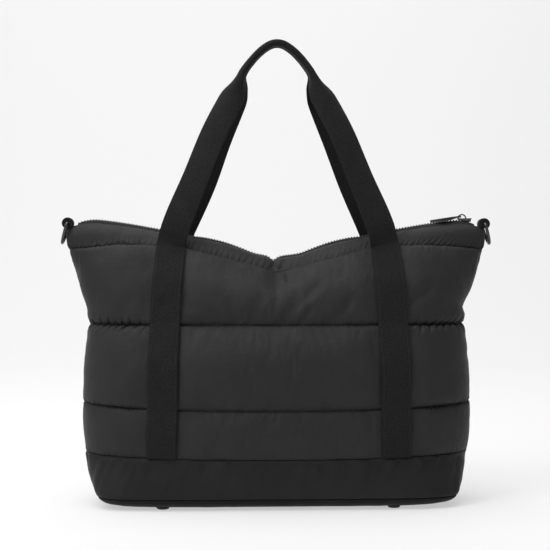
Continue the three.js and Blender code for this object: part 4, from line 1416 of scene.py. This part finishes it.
LOOP_ACROSS = 232.8
LOOP_RADIUS = 6.4
LOOP_FOOT = 4.6
LOOP_WIDTH = 12
LOOP_SLACK = 0.12
LOOP_STEPS = 72
RING_WIRE = 3.6
RING_HALF_WIDTH = 9.5
RING_LENGTH = 22.7
RING_CORNER = 3
RING_LEAN = math.radians(16)
RING_BAR_HEIGHT = 309.5
RING_SIDES = 16
FOOT_ACROSS = 125
FOOT_OUT = 46
FOOT_SIDES = 40


def make_loop(name, node, side):
    """Two layers of webbing turned round a ring, with a flat foot on the corner of the bag."""
    angles = turns_round(LOOP_STEPS)
    eye = RING_WIRE / 2 + LOOP_SLACK
    reach = np.minimum(LOOP_RADIUS, LOOP_FOOT / np.maximum(-np.sin(angles), 1e-6))
    half = LOOP_WIDTH / 2
    # Once round the section: share of the way from the eye to the outside, and distance in from the edge
    edge = (
        (0.02, 0.7), (0.08, 0.2), (0.24, 0), (0.42, 0.2), (0.5, 0.8),
        (0.58, 0.2), (0.76, 0), (0.92, 0.2), (0.98, 0.7),
    )
    flat = np.linspace(-half + 2, half - 2, 5)
    section = [(0, y) for y in flat] + [(share, half - inset) for share, inset in edge]
    section += [(1, y) for y in flat[::-1]] + [(share, inset - half) for share, inset in edge[::-1]]
    share, across = np.array(section).T
    radius = eye + (reach - eye)[:, None] * share
    loops = points_at(radius * np.cos(angles)[:, None], across, radius * np.sin(angles)[:, None])
    points, faces = loft_mesh(loops, True)
    points = points + (LOOP_ACROSS, 0, RING_BAR_HEIGHT)
    uvs = strip_uvs(across, angles * LOOP_RADIUS)
    make_piece(name, points, faces, WEBBING, "webbing", "bag", [node], uvs, (side, 1, 1))


def ring_curve():
    """Middle line of a D-ring that hangs from its straight bar, as across and height."""
    half = RING_HALF_WIDTH
    corner = RING_CORNER
    turn = np.linspace(np.pi / 2, 0, 9)
    right = np.stack([half - corner + corner * np.cos(turn), corner * np.sin(turn) - corner], -1)
    bow_turn = np.linspace(0, -np.pi, 49)[1:-1]
    bow = np.stack([half * np.cos(bow_turn), (RING_LENGTH - corner) * np.sin(bow_turn) - corner], -1)
    bar = np.linspace(-half + corner, half - corner, 9)[1:-1]
    straight = np.stack([bar, np.zeros(len(bar))], -1)
    return np.concatenate([right, bow, right[::-1] * (-1, 1), straight])


def make_ring(name, node, body, side):
    flat = ring_curve()
    hang = flat[:, 1]
    curve = points_at(
        LOOP_ACROSS - hang * math.sin(RING_LEAN), flat[:, 0], RING_BAR_HEIGHT + hang * math.cos(RING_LEAN)
    )
    normal = np.array([math.cos(RING_LEAN), 0, math.sin(RING_LEAN)])
    points, faces = wire_mesh(curve, normal, RING_WIRE, RING_SIDES, True)
    make_piece(name, points, faces, METAL, "black_metal", body, [node], mirror=(side, 1, 1))


def make_foot(name, node, across, out):
    """A round moulded foot with a dished underside."""
    # Distance from the middle, height
    profile = (
        (0.01, 0.4), (2.6, 0.4), (3.2, 0.3), (3.6, 0.1), (4.2, 0), (5, 0), (5.7, 0.1), (6.4, 0.5), (6.8, 1),
        (7, 1.5), (6.95, 2.1), (6.8, 2.8), (0.01, 2.8),
    )
    angles = turns_round(FOOT_SIDES)
    loops = [
        points_at(across + r * np.cos(angles), out + r * np.sin(angles), z)
        for r, z in profile
    ]
    make_piece(name, *loft_mesh(loops), FOOT, "foot_plastic", "bag", [node])


for side_name, side in (("left", -1), ("right", 1)):
    make_loop(f"{side_name}_loop_webbing", f"{side_name}_ring_loop", side)
    make_ring(f"{side_name}_d_ring", f"{side_name}_ring", f"{side_name}_ring", side)
    make_foot(f"foot_front_{side_name}", f"base_foot_front_{side_name}", side * FOOT_ACROSS, -FOOT_OUT)
    make_foot(f"foot_back_{side_name}", f"base_foot_back_{side_name}", side * FOOT_ACROSS, FOOT_OUT)


# Stage, light and camera

def make_floor():
    """A lit sweep: part of its white is its own, so that it stays white round the bag."""
    material, tree, shader = new_material("studio_white", (0.42, 0.42, 0.42), 0.85)
    set_inputs(tree, shader, {"Emission Color": (1, 1, 1), "Emission Strength": 0.49})
    reach = 2.8
    rise = 3.0
    bend = 1.2
    front = -3.5
    profile = [(front, 0.0), (reach - bend, 0.0)]
    for angle in np.linspace(0, math.pi / 2, 13)[1:]:
        profile.append((reach - bend + bend * math.sin(angle), bend - bend * math.cos(angle)))
    profile.append((reach, rise))
    half_width = 5.0
    points = [(side * half_width, y, z) for y, z in profile for side in (1, -1)]
    faces = [[2 * i, 2 * i + 2, 2 * i + 3, 2 * i + 1] for i in range(len(profile) - 1)]
    mesh = bpy.data.meshes.new("studio_floor")
    mesh.from_pydata(points, [], flipped(faces))
    mesh.materials.append(material)
    mesh.shade_smooth()
    floor = bpy.data.objects.new("studio_floor", mesh)
    bpy.context.scene.collection.objects.link(floor)


def add_area_light(name, place, aim, size, power):
    light = bpy.data.lights.new(name, "AREA")
    light.shape = "RECTANGLE"
    light.size, light.size_y = size
    light.energy = power
    lamp = bpy.data.objects.new(name, light)
    lamp.location = place
    lamp.rotation_euler = (Vector(aim) - Vector(place)).to_track_quat("-Z", "Y").to_euler()
    bpy.context.scene.collection.objects.link(lamp)


def set_world(strength):
    world = bpy.data.worlds.new("studio")
    world.use_nodes = True
    tree = world.node_tree
    set_inputs(tree, tree.nodes["Background"], {"Color": (1, 1, 1), "Strength": strength})
    bpy.context.scene.world = world


CAMERA_DISTANCE = 1.35
CAMERA_HEIGHT = 0.252
CAMERA_TURN = math.radians(-2.2)
CAMERA_AIM_ACROSS = -0.0024
FOCAL_PIXELS = 1205.4
IMAGE_PIXELS = 550


def make_camera():
    camera = bpy.data.cameras.new("photo_camera")
    camera.sensor_width = 36
    camera.lens = camera.sensor_width * FOCAL_PIXELS / IMAGE_PIXELS
    camera.clip_start = 0.05
    camera.clip_end = 50
    holder = bpy.data.objects.new("photo_camera", camera)
    holder.location = (
        CAMERA_AIM_ACROSS + CAMERA_DISTANCE * math.sin(CAMERA_TURN),
        -CAMERA_DISTANCE * math.cos(CAMERA_TURN),
        CAMERA_HEIGHT,
    )
    holder.rotation_euler = (math.pi / 2, 0, CAMERA_TURN)
    bpy.context.scene.collection.objects.link(holder)
    bpy.context.scene.camera = holder


make_floor()
set_world(0.22)
add_area_light("top_softbox", (-0.4, -0.4, 2.3), (0, 0, 0.1), (2.4, 2), 44)
add_area_light("left_softbox", (-1.9, -1.6, 2.1), (0, 0, 0.3), (1.3, 1.3), 34)
add_area_light("backdrop_softbox", (0, 0.9, 2.6), (0, 2.8, 1), (4, 1), 26)
make_camera()
bpy.context.scene.view_settings.view_transform = "Standard"
